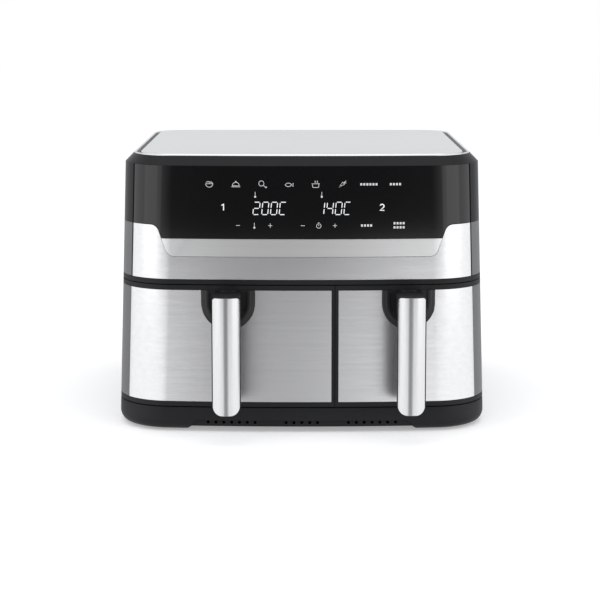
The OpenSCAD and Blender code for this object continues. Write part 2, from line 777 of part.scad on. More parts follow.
module exhaust_ducts() {
    z0 = liner_z1 - 40;
    z1 = liner_z1 - 10;
    x = outlet_half;
    y1 = back_y - side_t - wall;
    color("#8e9092") for (s = [0, 1]) translate([outlet_x(s), 0, 0]) difference() {
        box([-x, liner_y1 + joint_gap, z0], [x, y1, z1]);
        box([-x + 1, liner_y1 - 5, z0 + 1], [x - 1, back_y, z1 - 1]);
    }
}

module screw(length) {
    cylinder(r = 1.5, h = length);
    translate([0, 0, -2]) cylinder(r = 3, h = 2);
}

module housing_screws() {
    color("#9a9c9e") {
        at_rear_screws() translate([0, rear_proud, 0]) rotate([90, 0, 0]) screw(14);
        at_base_screws() translate([0, 0, belly_h]) screw(8);
    }
}

// ---------------------------------------------------------------- drawers
// The bar of each front frame beside the divider line
bar = 3.2;

// The space on a drawer's side of the divider line, g away from it
module beside_divider(s, g) {
    if (s == 0) box([-body_w, front_y - 20, 0], [divider_x - g, back_y, deck_z]);
    else box([divider_x + g, front_y - 20, 0], [body_w, back_y, deck_z]);
}

// The sides of the box behind a drawer's face, clear of the shell's front edges
frame_side = corner_x(drawer_z1) + (corner_r - side_t - wall) * sin(wrap) - 1.2;
function frame_x0(s) = s == 0 ? -frame_side : divider_x + seam;
function frame_x1(s) = s == 0 ? divider_x - seam : frame_side;

module at_handle(s) {
    translate([handle_x(s), front_y + bow_y(handle_x(s)), 0]) rotate([-front_lean, 0, 0]) children();
}

module handle_slot(s, g) {
    at_handle(s) box([-cover_w / 2 - g, -10, handle_top - arm_h - g],
        [cover_w / 2 + g, 20, handle_top + g]);
}

module at_handle_screws(s) {
    at_handle(s) for (x = [-1, 1])
        translate([x * 7, 6, handle_top - arm_h / 2]) rotate([90, 0, 0]) children();
}

module u_outline(s, r, top) {
    translate([handle_x(s), plate_zc]) circle(r);
    translate([handle_x(s) - r, plate_zc]) square([2 * r, top - plate_zc]);
}

module front_frame(s) {
    color("#232426") difference() {
        union() {
            intersection() {
                skin(-edge_t, edge_t, drawer_z0, drawer_z1, 0, skin_t + wall);
                beside_divider(s, seam / 2);
            }
            intersection() {
                difference() {
                    box([frame_x0(s), front_y - 5, drawer_z0], [frame_x1(s), frame_y, drawer_z1]);
                    box([frame_x0(s) + wall, front_y - 9, drawer_z0 + wall],
                        [frame_x1(s) - wall, frame_y + 5, drawer_z1 - wall]);
                }
                solid_loft([[drawer_z0, 1.5], [drawer_z1, 1.5]]);
            }
        }
        intersection() {
            skin(-wrap, wrap, steel_z0, steel_z1, -2, skin_t);
            beside_divider(s, seam / 2 + bar);
        }
        handle_slot(s, 0.2);
    }
}

module front_skin(s) {
    color("#b4b6b9") difference() {
        intersection() {
            skin(-edge_t, edge_t, steel_z0 + joint_gap, steel_z1 - joint_gap, 0,
                skin_t - joint_gap);
            beside_divider(s, seam / 2 + bar + 0.15);
        }
        through_front() u_outline(s, plate_r + 0.3, steel_z1 + 5);
    }
}

module handle_plate(s) {
    color("#232426") difference() {
        union() {
            intersection() {
                skin(-edge_t, edge_t, plate_zc - plate_r - 1, steel_z1 - joint_gap,
                    -plate_proud / 2, skin_t - joint_gap);
                through_front() u_outline(s, plate_r, steel_z1);
            }
            intersection() {
                skin(-edge_t, edge_t, plate_zc - plate_r - 1, steel_z1 - joint_gap,
                    -plate_proud, skin_t / 2);
                through_front() u_outline(s, plate_edge, steel_z1);
            }
        }
        handle_slot(s, 0.2);
    }
}

cover_r = (pow(cover_w / 2, 2) + pow(cover_sag, 2)) / (2 * cover_sag);
module grip_outline(w) {
    x = w / 2;
    translate([-x, handle_z + grip_r]) square([w, handle_l - grip_r - 3]);
    translate([-x + grip_r, handle_z]) square([w - 2 * grip_r, handle_l / 2]);
    translate([-x + 3, handle_top - 10]) square([w - 6, 10]);
    for (t = [-1, 1]) {
        translate([t * (x - grip_r), handle_z + grip_r]) circle(grip_r);
        translate([t * (x - 3), handle_top - 3]) circle(3);
    }
}

module grip_cut(w) {
    translate([0, 5, 0]) rotate([90, 0, 0]) linear_extrude(handle_reach + 20) grip_outline(w);
}

module handle_cover(s) {
    y = -handle_reach;
    color("#c9cbcd") at_handle(s) intersection() {
        translate([0, y + cover_r, handle_z]) difference() {
            cylinder(r = cover_r, h = handle_l);
            translate([0, 0, -1]) cylinder(r = cover_r - cover_t, h = handle_l + 2);
        }
        box([-cover_w / 2, y - 1, handle_z], [cover_w / 2, y + cover_sag, handle_top]);
        grip_cut(cover_w);
    }
}

module handle_core(s) {
    y = -handle_reach;
    w = cover_w + 2 * edge_w;
    fillet = 8;
    color("#1d1e20") at_handle(s) difference() {
        union() {
            intersection() {
                translate([0, y + cover_r, handle_z])
                    cylinder(r = cover_r - cover_t - joint_gap, h = handle_l);
                box([-w / 2, y, handle_z], [w / 2, y + cover_sag + 1, handle_top]);
                grip_cut(cover_w - 2 * cover_t);
            }
            intersection() {
                box([-w / 2, y + cover_sag + joint_gap, handle_z], [w / 2, y + grip_d, handle_top]);
                grip_cut(w);
            }
            box([-cover_w / 2, y + grip_d - 1, handle_top - arm_h], [cover_w / 2, 6, handle_top]);
            arm_fillet(y + grip_d, handle_top - arm_h, fillet);
        }
        for (x = [-1, 1]) translate([x * 7, 7, handle_top - arm_h / 2]) rotate([90, 0, 0])
            cylinder(r = 1.5, h = 20);
    }
}

// Rounds the corner under the arm where fingers pass
module arm_fillet(y, z, r) {
    difference() {
        box([-cover_w / 2, y - eps, z - r], [cover_w / 2, y + r, z + eps]);
        translate([0, y + r, z - r]) rotate([0, 90, 0]) cylinder(r = r, h = cover_w + 2, center = true);
    }
}

module handle_screws(s) {
    color("#9a9c9e") at_handle_screws(s) translate([0, 0, -joint_gap]) screw(16);
}

// A pan: the tub and the plate that closes the back of its drawer's front
module pan(s) {
    x0 = zone_x0[s] + liner_t + pan_gap;
    x1 = zone_x1[s] - liner_t - pan_gap;
    y0 = frame_y;
    color("#36373a") difference() {
        union() {
            intersection() {
                box([frame_x0(s), frame_y, drawer_z0 + 3],
                    [frame_x1(s), frame_y + wall, drawer_z1 - 1]);
                solid_loft([[drawer_z0, frame_in], [drawer_z1, frame_in]]);
            }
            upright(pan_z0, pan_z1) round_rect(x0, x1, y0 + 1, pan_y1, pan_r);
            upright(pan_z0, pan_z1 - 1) translate([x0, y0 + 1]) square([x1 - x0, pan_r]);
            upright(pan_z1 - 2, pan_z1)
                round_rect(x0 - pan_rim, x1 + pan_rim, y0 + 1, pan_y1 + pan_rim, pan_r + pan_rim);
        }
        upright(pan_z0 + pan_t, pan_z1 + 1) round_rect(x0 + pan_t, x1 - pan_t,
            y0 + wall + pan_t, pan_y1 - pan_t, pan_r - pan_t);
    }
}

module tray(s) {
    in = liner_t + pan_gap + pan_t + tray_gap;
    x0 = zone_x0[s] + in;
    x1 = zone_x1[s] - in;
    y0 = frame_y + wall + pan_t + tray_gap;
    y1 = pan_y1 - pan_t - tray_gap;
    r = pan_r - pan_t - tray_gap;
    rows = floor((x1 - x0 - 24) / 14);
    pitch = (x1 - x0 - 24) / rows;
    slot = (y1 - y0 - 60) / 3;
    color("#2f3033") difference() {
        union() {
            upright(tray_z0, tray_z0 + tray_t) round_rect(x0, x1, y0, y1, r);
            for (i = [0:rows]) box([x0 + 11 + i * pitch, y0 + 20, tray_z0 + 1],
                [x0 + 13 + i * pitch, y1 - 20, tray_z0 + tray_t + rib_h]);
        }
        for (i = [0:rows - 1], j = [0:2])
            box([x0 + 12 + i * pitch + pitch / 2 - 2, y0 + 25 + j * (slot + 5), tray_z0 - 5],
                [x0 + 12 + i * pitch + pitch / 2 + 2, y0 + 25 + j * (slot + 5) + slot - 5,
                 tray_z0 + tray_t + 1]);
    }
}

// Silicone pads that the tray stands on
module tray_pads(s) {
    in = liner_t + pan_gap + pan_t + tray_gap + 16;
    color("#7d2f2a") for (x = [zone_x0[s] + in, zone_x1[s] - in],
        y = [frame_y + wall + pan_t + 18, pan_y1 - pan_t - 18])
        translate([x, y, pan_z0 + pan_t + slide_gap]) cylinder(r = 6, h = tray_lift - slide_gap);
}

base_pan();
rubber_feet();
body_shell();
side_panel(-1, steel_z0, steel_z1);  // left_lower_side
side_panel(1, steel_z0, steel_z1);  // right_lower_side
side_panel(-1, fascia_z0, shoulder_z - 0.3);  // left_upper_side
side_panel(1, fascia_z0, shoulder_z - 0.3);  // right_upper_side
rear_cover();
cord_bush();
top_housing();
silver_rim();
top_plate();
control_panel();
control_board();
bright_strip();
front_fascia();
mouth_frame();
liner(0);  // left_liner
liner(1);  // right_liner
coil(0);  // left_coil
coil(1);  // right_coil
coil_guard(0);  // left_coil_guard
coil_guard(1);  // right_coil_guard
motor(0);  // left_motor
motor(1);  // right_motor
motor_mounts();
heat_shield();
temperature_probes();
thermal_cutouts();
power_board();
drawer_switches();
exhaust_ducts();
housing_screws();
front_frame(0);  // left_front_frame
front_skin(0);  // left_front_skin
handle_plate(0);  // left_handle_plate
handle_core(0);  // left_handle_core
handle_cover(0);  // left_handle_cover
pan(0);  // left_pan
magnet(0);  // left_magnet
handle_screws(0);  // left_handle_screws
front_frame(1);  // right_front_frame
front_skin(1);  // right_front_skin
handle_plate(1);  // right_handle_plate
handle_core(1);  // right_handle_core
handle_cover(1);  // right_handle_cover
pan(1);  // right_pan
magnet(1);  // right_magnet
handle_screws(1);  // right_handle_screws
tray(0);  // left_tray
tray_pads(0);  // left_tray_pads
tray(1);  // right_tray
tray_pads(1);  // right_tray_pads
shaft(0);  // left_shaft
impeller(0);  // left_impeller
cooling_fan(0);  // left_cooling_fan
shaft(1);  // right_shaft
impeller(1);  // right_impeller
cooling_fan(1);  // right_cooling_fan
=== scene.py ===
"""A two-drawer countertop air fryer: its looks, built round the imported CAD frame.

Lengths are millimetres in every class and are turned into metres when a mesh is made.
X runs to the right, Y to the back and Z up. Each sub-assembly is a class: its fields are
its sizes and its build() makes the meshes, dresses them and says which body they ride on.
The moving bodies are the two drawers with their trays, and the two motor shafts.
"""

from __future__ import annotations

import logging
import math
from dataclasses import dataclass, field
from enum import Enum

import bmesh
import bpy
import numpy as np
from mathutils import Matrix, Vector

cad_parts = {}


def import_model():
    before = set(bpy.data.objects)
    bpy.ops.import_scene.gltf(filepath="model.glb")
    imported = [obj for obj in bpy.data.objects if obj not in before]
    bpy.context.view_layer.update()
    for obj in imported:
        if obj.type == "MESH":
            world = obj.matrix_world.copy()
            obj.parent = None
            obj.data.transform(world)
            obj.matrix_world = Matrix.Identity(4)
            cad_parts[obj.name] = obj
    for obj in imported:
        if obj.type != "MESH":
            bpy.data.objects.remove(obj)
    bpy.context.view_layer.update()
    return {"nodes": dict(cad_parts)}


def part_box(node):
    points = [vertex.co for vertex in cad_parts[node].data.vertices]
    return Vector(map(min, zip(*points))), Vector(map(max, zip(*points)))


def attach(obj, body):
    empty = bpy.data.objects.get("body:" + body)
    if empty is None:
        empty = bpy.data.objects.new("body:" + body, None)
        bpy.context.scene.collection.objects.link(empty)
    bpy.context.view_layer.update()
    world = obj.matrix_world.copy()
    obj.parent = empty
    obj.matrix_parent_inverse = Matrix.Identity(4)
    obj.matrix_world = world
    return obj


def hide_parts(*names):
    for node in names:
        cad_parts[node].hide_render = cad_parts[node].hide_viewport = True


log = logging.getLogger("air_fryer")
MM = 0.001


class Side(Enum):
    """The two drawers, as seen from the front."""

    LEFT = -1
    RIGHT = 1

    @property
    def prefix(self) -> str:
        """The word that this side's nodes and bodies start with."""
        return self.name.lower()


class Axis(Enum):
    """A direction that a flat outline is carried along, or that a grain runs in."""

    X = 0
    Y = 1
    Z = 2


# ---------------------------------------------------------------- surfaces
@dataclass
class Shell:
    """One closed surface.

    Args:
        points: (n, 3) vertices in millimetres.
        faces: Index arrays, each of faces with the same number of corners.
    """

    points: np.ndarray
    faces: list[np.ndarray]

    @staticmethod
    def joined(shells: list[Shell]) -> Shell:
        """Puts several surfaces in one mesh, each kept closed on its own.

        Args:
            shells: The surfaces.

        Returns:
            One Shell that holds them all.
        """
        starts = np.cumsum([0] + [len(s.points) for s in shells[:-1]])
        faces = [f + start for s, start in zip(shells, starts) for f in s.faces]
        return Shell(np.concatenate([s.points for s in shells]), faces)


def arc(x: float, z: float, radius: float, start: float, stop: float, count: int = 17) -> np.ndarray:
    """Points of a flat arc: centre + radius * (cos a, sin a), a from start to stop.

    Args:
        x: Centre, first coordinate.
        z: Centre, second coordinate.
        radius: Radius.
        start: First angle in degrees.
        stop: Last angle in degrees.
        count: Number of points.

    Returns:
        (count, 2) points.
    """
    a = np.radians(np.linspace(start, stop, count))
    return np.stack([x + radius * np.cos(a), z + radius * np.sin(a)], -1)


def round_rect(x0: float, x1: float, y0: float, y1: float, r: float, count: int = 9) -> np.ndarray:
    """Outline of a rectangle whose four corners are arcs, counter-clockwise.

    Args:
        x0: Lowest first coordinate.
        x1: Highest first coordinate.
        y0: Lowest second coordinate.
        y1: Highest second coordinate.
        r: Corner radius.
        count: Points in each corner.

    Returns:
        (4 * count, 2) points.
    """
    return np.concatenate([
        arc(x1 - r, y0 + r, r, -90, 0, count), arc(x1 - r, y1 - r, r, 0, 90, count),
        arc(x0 + r, y1 - r, r, 90, 180, count), arc(x0 + r, y0 + r, r, 180, 270, count)])


def tube(grid: np.ndarray, closed: bool = False) -> Shell:
    """A surface whose columns run round a loop.

    Args:
        grid: (rows, columns, 3) points; the last column meets the first.
        closed: The last row meets the first too; otherwise each end row gets one flat cap.

    Returns:
        The closed surface.
    """
    rows, cols = grid.shape[:2]
    index = np.arange(rows * cols).reshape(rows, cols)
    if closed:
        index = np.vstack([index, index[:1]])
    after = np.roll(index, -1, axis=1)
    faces = [np.stack([index[:-1], after[:-1], after[1:], index[1:]], -1).reshape(-1, 4)]
    if not closed:
        faces += [index[:1, ::-1], index[-1:]]
    return Shell(grid.reshape(-1, 3), faces)


def slab(front: np.ndarray, back: np.ndarray, keep: np.ndarray | None = None) -> Shell:
    """A sheet between two grids of points, closed by walls along every open edge.

    Args:
        front: (rows, columns, 3) points of one face.
        back: The same grid on the other face.
        keep: (rows - 1, columns - 1) truth of each cell; a False cell is a hole.

    Returns:
        The closed sheet.
    """
    rows, cols = front.shape[:2]
    n = rows * cols
    index = np.arange(n).reshape(rows, cols)
    keep = np.ones((rows - 1, cols - 1), bool) if keep is None else keep
    a, b, c, d = index[:-1, :-1], index[:-1, 1:], index[1:, 1:], index[1:, :-1]
    quads = np.stack([a, b, c, d], -1)[keep]
    around = np.pad(keep, 1)
    faces = [quads, quads[:, ::-1] + n]
    for open_side, p, q in ((~around[:-2, 1:-1], a, b), (~around[1:-1, 2:], b, c),
                            (~around[2:, 1:-1], c, d), (~around[1:-1, :-2], d, a)):
        edge = keep & open_side
        faces.append(np.stack([q[edge], p[edge], p[edge] + n, q[edge] + n], -1))
    return Shell(np.concatenate([front.reshape(-1, 3), back.reshape(-1, 3)]), faces)


def prism(outline: np.ndarray, axis: Axis, low: float, high: float) -> Shell:
    """A flat outline carried along one axis.

    Args:
        outline: (n, 2) points in the other two axes, in X, Y, Z order.
        axis: The axis it is carried along.
        low: Where it starts.
        high: Where it ends.

    Returns:
        The closed solid's surface.
    """
    grid = np.empty((2, len(outline), 3))
    others = [i for i in range(3) if i != axis.value]
    grid[..., others] = outline
    grid[..., axis.value] = [[low], [high]]
    return tube(grid)


def block(low: tuple, high: tuple) -> Shell:
    """A box given by its lowest and highest corners.

    Args:
        low: Lowest corner.
        high: Highest corner.

    Returns:
        The box's surface.
    """
    corners = np.array([[low[0], low[1]], [high[0], low[1]], [high[0], high[1]], [low[0], high[1]]])
    return prism(corners, Axis.Z, low[2], high[2])


def spread(*edges: tuple) -> np.ndarray:
    """Sorted values made of even runs.

    Args:
        edges: (start, stop, count) of each run, both ends included.

    Returns:
        All values once each, in order.
    """
    return np.unique(np.round(np.concatenate([np.linspace(*e) for e in edges]), 9))


# ---------------------------------------------------------------- the body's outline
@dataclass(frozen=True)
class BodyOutline:
    """The body's outline at every height, seen from above.

    A station t runs round the body from the middle of the front: to 90 it is the angle
    round the bow and the front corner, to 100 the side, to 190 the rear corner and to 200
    the back. A negative t is the left half. The front leans back and the sides lean in.

    Args:
        front_y: The middle of the front at the surface it stands on.
        back_y: The back.
        width: Width at the base.
        front_lean: Lean of the front in degrees.
        side_lean: Lean of each side in degrees.
        corner_r: Radius of the front corners.
        rear_r: Radius of the rear corners.
        bow_r: Radius of the front's bow at the base.
        wrap: Station at which the front panels end.
        seam: Gap between visible panels.
    """

    front_y: float
    back_y: float
    width: float = 386.0
    front_lean: float = 2.8
    side_lean: float = 1.8
    corner_r: float = 58.0
    rear_r: float = 45.0
    bow_r: float = 1600.0
    wrap: float = 53.5
    seam: float = 0.6

    @property
    def blend(self) -> float:
        """Station at which the bow meets the front corner."""
        return math.degrees(math.asin((self.width / 2 - self.corner_r) / (self.bow_r - self.corner_r)))

    @property
    def edge(self) -> float:
        """Station of the front panels' ends, a seam short of the side panels."""
        return self.wrap - math.degrees(self.seam / self.corner_r) / 2

    def half(self, z: np.ndarray) -> np.ndarray:
        """Half the width at a height."""
        return self.width / 2 - z * math.tan(math.radians(self.side_lean))

    def _front(self, z: np.ndarray) -> tuple:
        """Returns the face's middle, the bow's radius and the corner's centre at a height."""
        face = self.front_y + z * math.tan(math.radians(self.front_lean))
        corner_x = self.half(z) - self.corner_r
        bow = self.corner_r + corner_x / math.sin(math.radians(self.blend))
        corner_y = face + bow - (bow - self.corner_r) * math.cos(math.radians(self.blend))
        return face, bow, corner_x, corner_y

    def corner_reach(self, y: float, z: np.ndarray, inset: float) -> np.ndarray:
        """Distance from the middle across to a front corner's arc, at a depth and heights.

        Args:
            y: Depth, between the arc's ends.
            z: Heights.
            inset: Distance inwards from the outline.

        Returns:
            corner x + sqrt((radius - inset)^2 - (corner y - y)^2), for each height.
        """
        _, _, corner_x, corner_y = self._front(z)
        return corner_x + np.sqrt((self.corner_r - inset) ** 2 - (corner_y - y) ** 2)

    def point(self, t: np.ndarray, z: np.ndarray, inset: np.ndarray) -> np.ndarray:
        """Points at stations t and heights z, inset from the outline along its normal.

        On the bow: (b sin t, face + bow - b cos t) with b = bow - inset. On a corner: its
        centre + (radius - inset) * (sin t, -cos t). Sides and back are straight lines.

        Args:
            t: Stations.
            z: Heights.
            inset: Distances inwards.

        Returns:
            Points, with the three arrays' common shape and a last axis of 3.
        """
        t, z, inset = np.broadcast_arrays(*(np.asarray(v, float) for v in (t, z, inset)))
        a = np.abs(t)
        s, c = np.sin(np.radians(a)), np.cos(np.radians(a))
        rs, rc = np.sin(np.radians(a - 100)), np.cos(np.radians(a - 100))
        face, bow, corner_x, corner_y = self._front(z)
        half, r, rear = self.half(z), self.corner_r - inset, self.rear_r - inset
        zone = [a <= self.blend, a <= 90, a <= 100, a <= 190]
        rear_x, rear_y = half - self.rear_r, self.back_y - self.rear_r
        x = np.select(zone, [(bow - inset) * s, corner_x + r * s, half - inset,
                             rear_x + rear * rc], rear_x * (200 - a) / 10)
        y = np.select(zone, [face + bow - (bow - inset) * c, corner_y - r * c,
                             corner_y + (rear_y - corner_y) * (a - 90) / 10,
                             rear_y + rear * rs], self.back_y - inset)
        return np.stack([np.where(t < 0, -x, x), y, z], -1)

    def on_front(self, x: np.ndarray, z: np.ndarray, inset: np.ndarray) -> np.ndarray:
        """Points of the front at given x and z.

        Args:
            x: Places across the front.
            z: Heights.
            inset: Distances inwards.

        Returns:
            Points, with a last axis of 3.
        """
        x, z, inset = np.broadcast_arrays(*(np.asarray(v, float) for v in (x, z, inset)))
        face, bow, corner_x, corner_y = self._front(z)
        b, r = bow - inset, self.corner_r - inset
        flat = np.abs(x) <= b * math.sin(math.radians(self.blend))
        y = np.where(flat, face + bow - np.sqrt(b * b - x * x),
                     corner_y - np.sqrt(np.maximum(r * r - (np.abs(x) - corner_x) ** 2, 0)))
        return np.stack([x, y, z], -1)

    def station(self, x: np.ndarray, z: np.ndarray, inset: float = 0.0) -> np.ndarray:
        """Stations of places on the front.

        Args:
            x: Places across the front.
            z: Heights.
            inset: Distance inwards.

        Returns:
            Stations, with the common shape of x and z.
        """
        _, bow, corner_x, _ = self._front(np.asarray(z, float))
        a, b, r = np.abs(x), bow - inset, self.corner_r - inset
        flat = a <= b * math.sin(math.radians(self.blend))
        t = np.where(flat, np.arcsin(np.minimum(a / b, 1)),
                     np.arcsin(np.clip((a - corner_x) / r, -1, 1)))
        return np.sign(x) * np.degrees(t)

    def ring(self, steps: tuple = ()) -> np.ndarray:
        """Stations all round the body.

        Args:
            steps: Extra stations, on both halves.

        Returns:
            Increasing stations from -200 up to but not with 200.
        """
        half = spread((0, self.blend, 9), (self.blend, 90, 25), (90, 100, 5), (100, 190, 19),
                      (190, 200, 4), *((s, s, 1) for s in steps))
        return np.concatenate([-half[:0:-1], half[:-1]])

    def loft(self, t: np.ndarray, z: np.ndarray, inset: np.ndarray, closed: bool = False) -> Shell:
        """A surface of whole outlines.

        Args:
            t: Stations all round.
            z: Height of each row, or a grid.
            inset: Inset of each row, or a grid.
            closed: The last row meets the first.

        Returns:
            The closed surface.
        """
        z, inset = (v[:, None] if v.ndim == 1 else v for v in map(np.asarray, (z, inset)))
        return tube(self.point(t[None, :], z, inset), closed)

    def sheet(self, t: np.ndarray, low: np.ndarray, high: np.ndarray, outer: float, inner: float,
              rows: int = 9) -> Shell:
        """A sheet along the outline between two edges that may rise and fall.

        Row v of column t is at height low(t) + v * (high(t) - low(t)).

        Args:
            t: Stations of the columns.
            low: Height of the lower edge, one or one a column.
            high: Height of the upper edge, one or one a column.
            outer: Inset of the outer face.
            inner: Inset of the inner face.
            rows: Rows of points.

        Returns:
            The closed sheet.
        """
        v = np.linspace(0, 1, rows)[:, None]
        z = low + v * (np.asarray(high) - low) + 0 * t[None, :]
        return slab(self.point(t[None, :], z, outer), self.point(t[None, :], z, inner))


# ---------------------------------------------------------------- finishes
@dataclass(frozen=True)
class Finish:
    """A finish made of nodes over the object's own coordinates, in metres.

    A fine grain gives the bumps, and a slow mottle moves colour and roughness a little.

    Args:
        name: The material's name, the record's slot where there is one.
        color: Base colour, linear.
        roughness: Mean roughness.
        metallic: 1 for bare metal.
        coat: Weight of a clear coat.
        grain: Bumps per metre.
        depth: Height of the bumps in metres.
        mottle: Share by which colour and roughness move.
        mottle_scale: Mottles per metre.
        specular: Strength of the surface's own reflection.
        record_slot: The record's slot, where it isn't the finish's name; not used.
    """

    name: str
    color: tuple
    roughness: float = 0.5
    metallic: float = 0.0
    coat: float = 0.0
    grain: float = 2200.0
    depth: float = 0.00002
    mottle: float = 0.08
    mottle_scale: float = 14.0
    specular: float = 0.5
    record_slot: str = ""

    def material(self) -> bpy.types.Material:
        """Returns this finish's material, made at the first call."""
        known = bpy.data.materials.get(self.name + "_finish")
        if known:
            return known
        made = bpy.data.materials.new(self.name + "_finish")
        made.use_nodes = True
        made.node_tree.nodes.clear()
        graph = Graph(made.node_tree)
        graph.node("ShaderNodeOutputMaterial", Surface=self.surface(graph))
        made.diffuse_color = (*self.color, 1)
        return made

    def surface(self, graph: Graph) -> bpy.types.NodeSocket:
        """Wires the finish.

        Args:
            graph: The material's graph.

        Returns:
            The shader socket.
        """
        place = graph.node("ShaderNodeTexCoord", out="Object")
        slow = graph.noise(place, self.mottle_scale, 3)
        fine = graph.noise(place, self.grain, 2)
        return graph.principled(
            self, graph.span(slow, self.mottle), graph.bump(fine, self.depth))


@dataclass(frozen=True)
class Brushed(Finish):
    """Metal with straight brush lines.

    Noise is squeezed across the lines and stretched along them, at a fine and a broad pitch;
    both move the colour and roughness, and the fine one cuts shallow lines.

    Args:
        along: Axis the lines run in.
        pitch: Fine lines per metre.
        stretch: How many times longer than wide the lines are.
        anisotropic: Stretch of the reflection across the lines.
    """

    along: Axis = Axis.X
    pitch: float = 1500.0
    stretch: float = 300.0
    anisotropic: float = 0.6

    def surface(self, graph: Graph) -> bpy.types.NodeSocket:
        """Wires the finish; see Finish.surface."""
        place = graph.node("ShaderNodeTexCoord", out="Object")
        scale = [self.pitch] * 3
        scale[self.along.value] = self.pitch / self.stretch
        fine = graph.noise(graph.scaled(place, scale), 1.0, 4)
        broad = graph.noise(graph.scaled(place, [s * 0.16 for s in scale]), 1.0, 3)
        mixed = graph.math("ADD", graph.math("MULTIPLY", fine, 0.55),
                           graph.math("MULTIPLY", broad, 0.45))
        made = graph.principled(self, graph.span(mixed, self.mottle),
                                graph.bump(fine, self.depth))
        tangent = graph.node("ShaderNodeTangent", {"direction_type": "RADIAL", "axis": "Z"},
                             out="Tangent")
        shader = made.node
        shader.inputs["Anisotropic"].default_value = self.anisotropic
        shader.inputs["Anisotropic Rotation"].default_value = 0.25 if self.along is Axis.Z else 0
        graph.tree.links.new(tangent, shader.inputs["Tangent"])
        return made


@dataclass(frozen=True)
class Lit(Finish):
    """Printing or segments that glow a little, a touch unevenly.

    Args:
        glow: Strength of the light given off.
    """

    glow: float = 1.0

    def surface(self, graph: Graph) -> bpy.types.NodeSocket:
        """Wires the finish; see Finish.surface."""
        made = Finish.surface(self, graph)
        place = graph.node("ShaderNodeTexCoord", out="Object")
        light = graph.math("MULTIPLY", graph.span(graph.noise(place, 60.0, 2), self.mottle), self.glow)
        made.node.inputs["Emission Color"].default_value = (*self.color, 1)
        graph.tree.links.new(light, made.node.inputs["Emission Strength"])
        return made


@dataclass(frozen=True)
class Fade(Finish):
    """A matt board that goes from its own shade in the middle to another at its sides.

    The shade follows the distance from the middle across, over the object's coordinates.

    Args:
        middle: Place of the middle across, in metres.
        start: Distance in metres at which the change starts.
        stop: Distance at which it ends.
        bright: The shade at the sides.
    """

    middle: float = 0.0
    start: float = 0.2
    stop: float = 1.0
    bright: float = 0.9

    def surface(self, graph: Graph) -> bpy.types.NodeSocket:
        """Wires the finish; see Finish.surface."""
        place = graph.node("ShaderNodeTexCoord", out="Object")
        across = graph.node("ShaderNodeSeparateXYZ", out="X", Vector=place)
        across = graph.math("ABSOLUTE", graph.math("SUBTRACT", across, self.middle), 0)
        shade = graph.node("ShaderNodeMapRange", {"interpolation_type": "SMOOTHSTEP"}, Value=across,
                           From_Min=self.start, From_Max=self.stop, To_Min=self.color[0],
                           To_Max=self.bright)
        return graph.node("ShaderNodeEmission", Strength=shade)


@dataclass
class Graph:
    """Shorthands for one node tree.

    Args:
        tree: The tree.
    """

    tree: bpy.types.NodeTree

    def node(self, kind: str, settings: dict | None = None, out: str | int = 0, **inputs: object) -> object:
        """Adds a node.

        Args:
            kind: The node's type.
            settings: Its properties.
            out: The output wanted.
            **inputs: Sockets to link or constants to set, by name.

        Returns:
            The output socket, or the node itself if it has none.
        """
        made = self.tree.nodes.new(kind)
        for name, value in (settings or {}).items():
            setattr(made, name, value)
        for name, value in inputs.items():
            socket = made.inputs[name.replace("_", " ")]
            if isinstance(value, bpy.types.NodeSocket):
                self.tree.links.new(value, socket)
            else:
                socket.default_value = value
        return made.outputs[out] if len(made.outputs) else made

    def noise(self, place: bpy.types.NodeSocket, scale: float, detail: float) -> bpy.types.NodeSocket:
        """Adds a noise of the given scale and detail, and returns its value."""
        return self.node("ShaderNodeTexNoise", Vector=place, Scale=scale, Detail=detail)

    def scaled(self, place: bpy.types.NodeSocket, scale: list) -> bpy.types.NodeSocket:
        """Multiplies coordinates axis by axis, and returns them."""
        return self.node("ShaderNodeMapping", Vector=place, Scale=scale)

    def math(self, operation: str, a: object, b: object) -> bpy.types.NodeSocket:
        """Adds a sum, product or power of two values, and returns it."""
        made = self.tree.nodes.new("ShaderNodeMath")
        made.operation = operation
        for socket, value in zip(made.inputs, (a, b)):
            if isinstance(value, bpy.types.NodeSocket):
                self.tree.links.new(value, socket)
            else:
                socket.default_value = value
        return made.outputs[0]

    def span(self, value: bpy.types.NodeSocket, share: float) -> bpy.types.NodeSocket:
        """Turns a noise of 0 to 1 into a factor from 1 - share to 1 + share."""
        return self.node("ShaderNodeMapRange", Value=value, From_Min=0.25, From_Max=0.75,
                         To_Min=1 - share, To_Max=1 + share)

    def bump(self, height: bpy.types.NodeSocket, depth: float) -> bpy.types.NodeSocket:
        """Adds a bump of a depth in metres, and returns its normal."""
        return self.node("ShaderNodeBump", Height=height, Distance=depth, Strength=1.0)

    def principled(self, finish: Finish, factor: bpy.types.NodeSocket,
                   normal: bpy.types.NodeSocket) -> bpy.types.NodeSocket:
        """Adds the surface shader of a finish.

        Args:
            finish: The finish.
            factor: Moves the colour and, the other way, the roughness.
            normal: The bumped normal.

        Returns:
            The shader socket.
        """
        color = self.node("ShaderNodeVectorMath", {"operation": "SCALE"}, Vector=finish.color, Scale=factor)
        rough = self.math("DIVIDE", finish.roughness, factor)
        return self.node(
            "ShaderNodeBsdfPrincipled", Base_Color=color, Roughness=rough, Normal=normal,
            Metallic=finish.metallic, Coat_Weight=finish.coat, Coat_Roughness=0.03,
            Specular_IOR_Level=finish.specular)


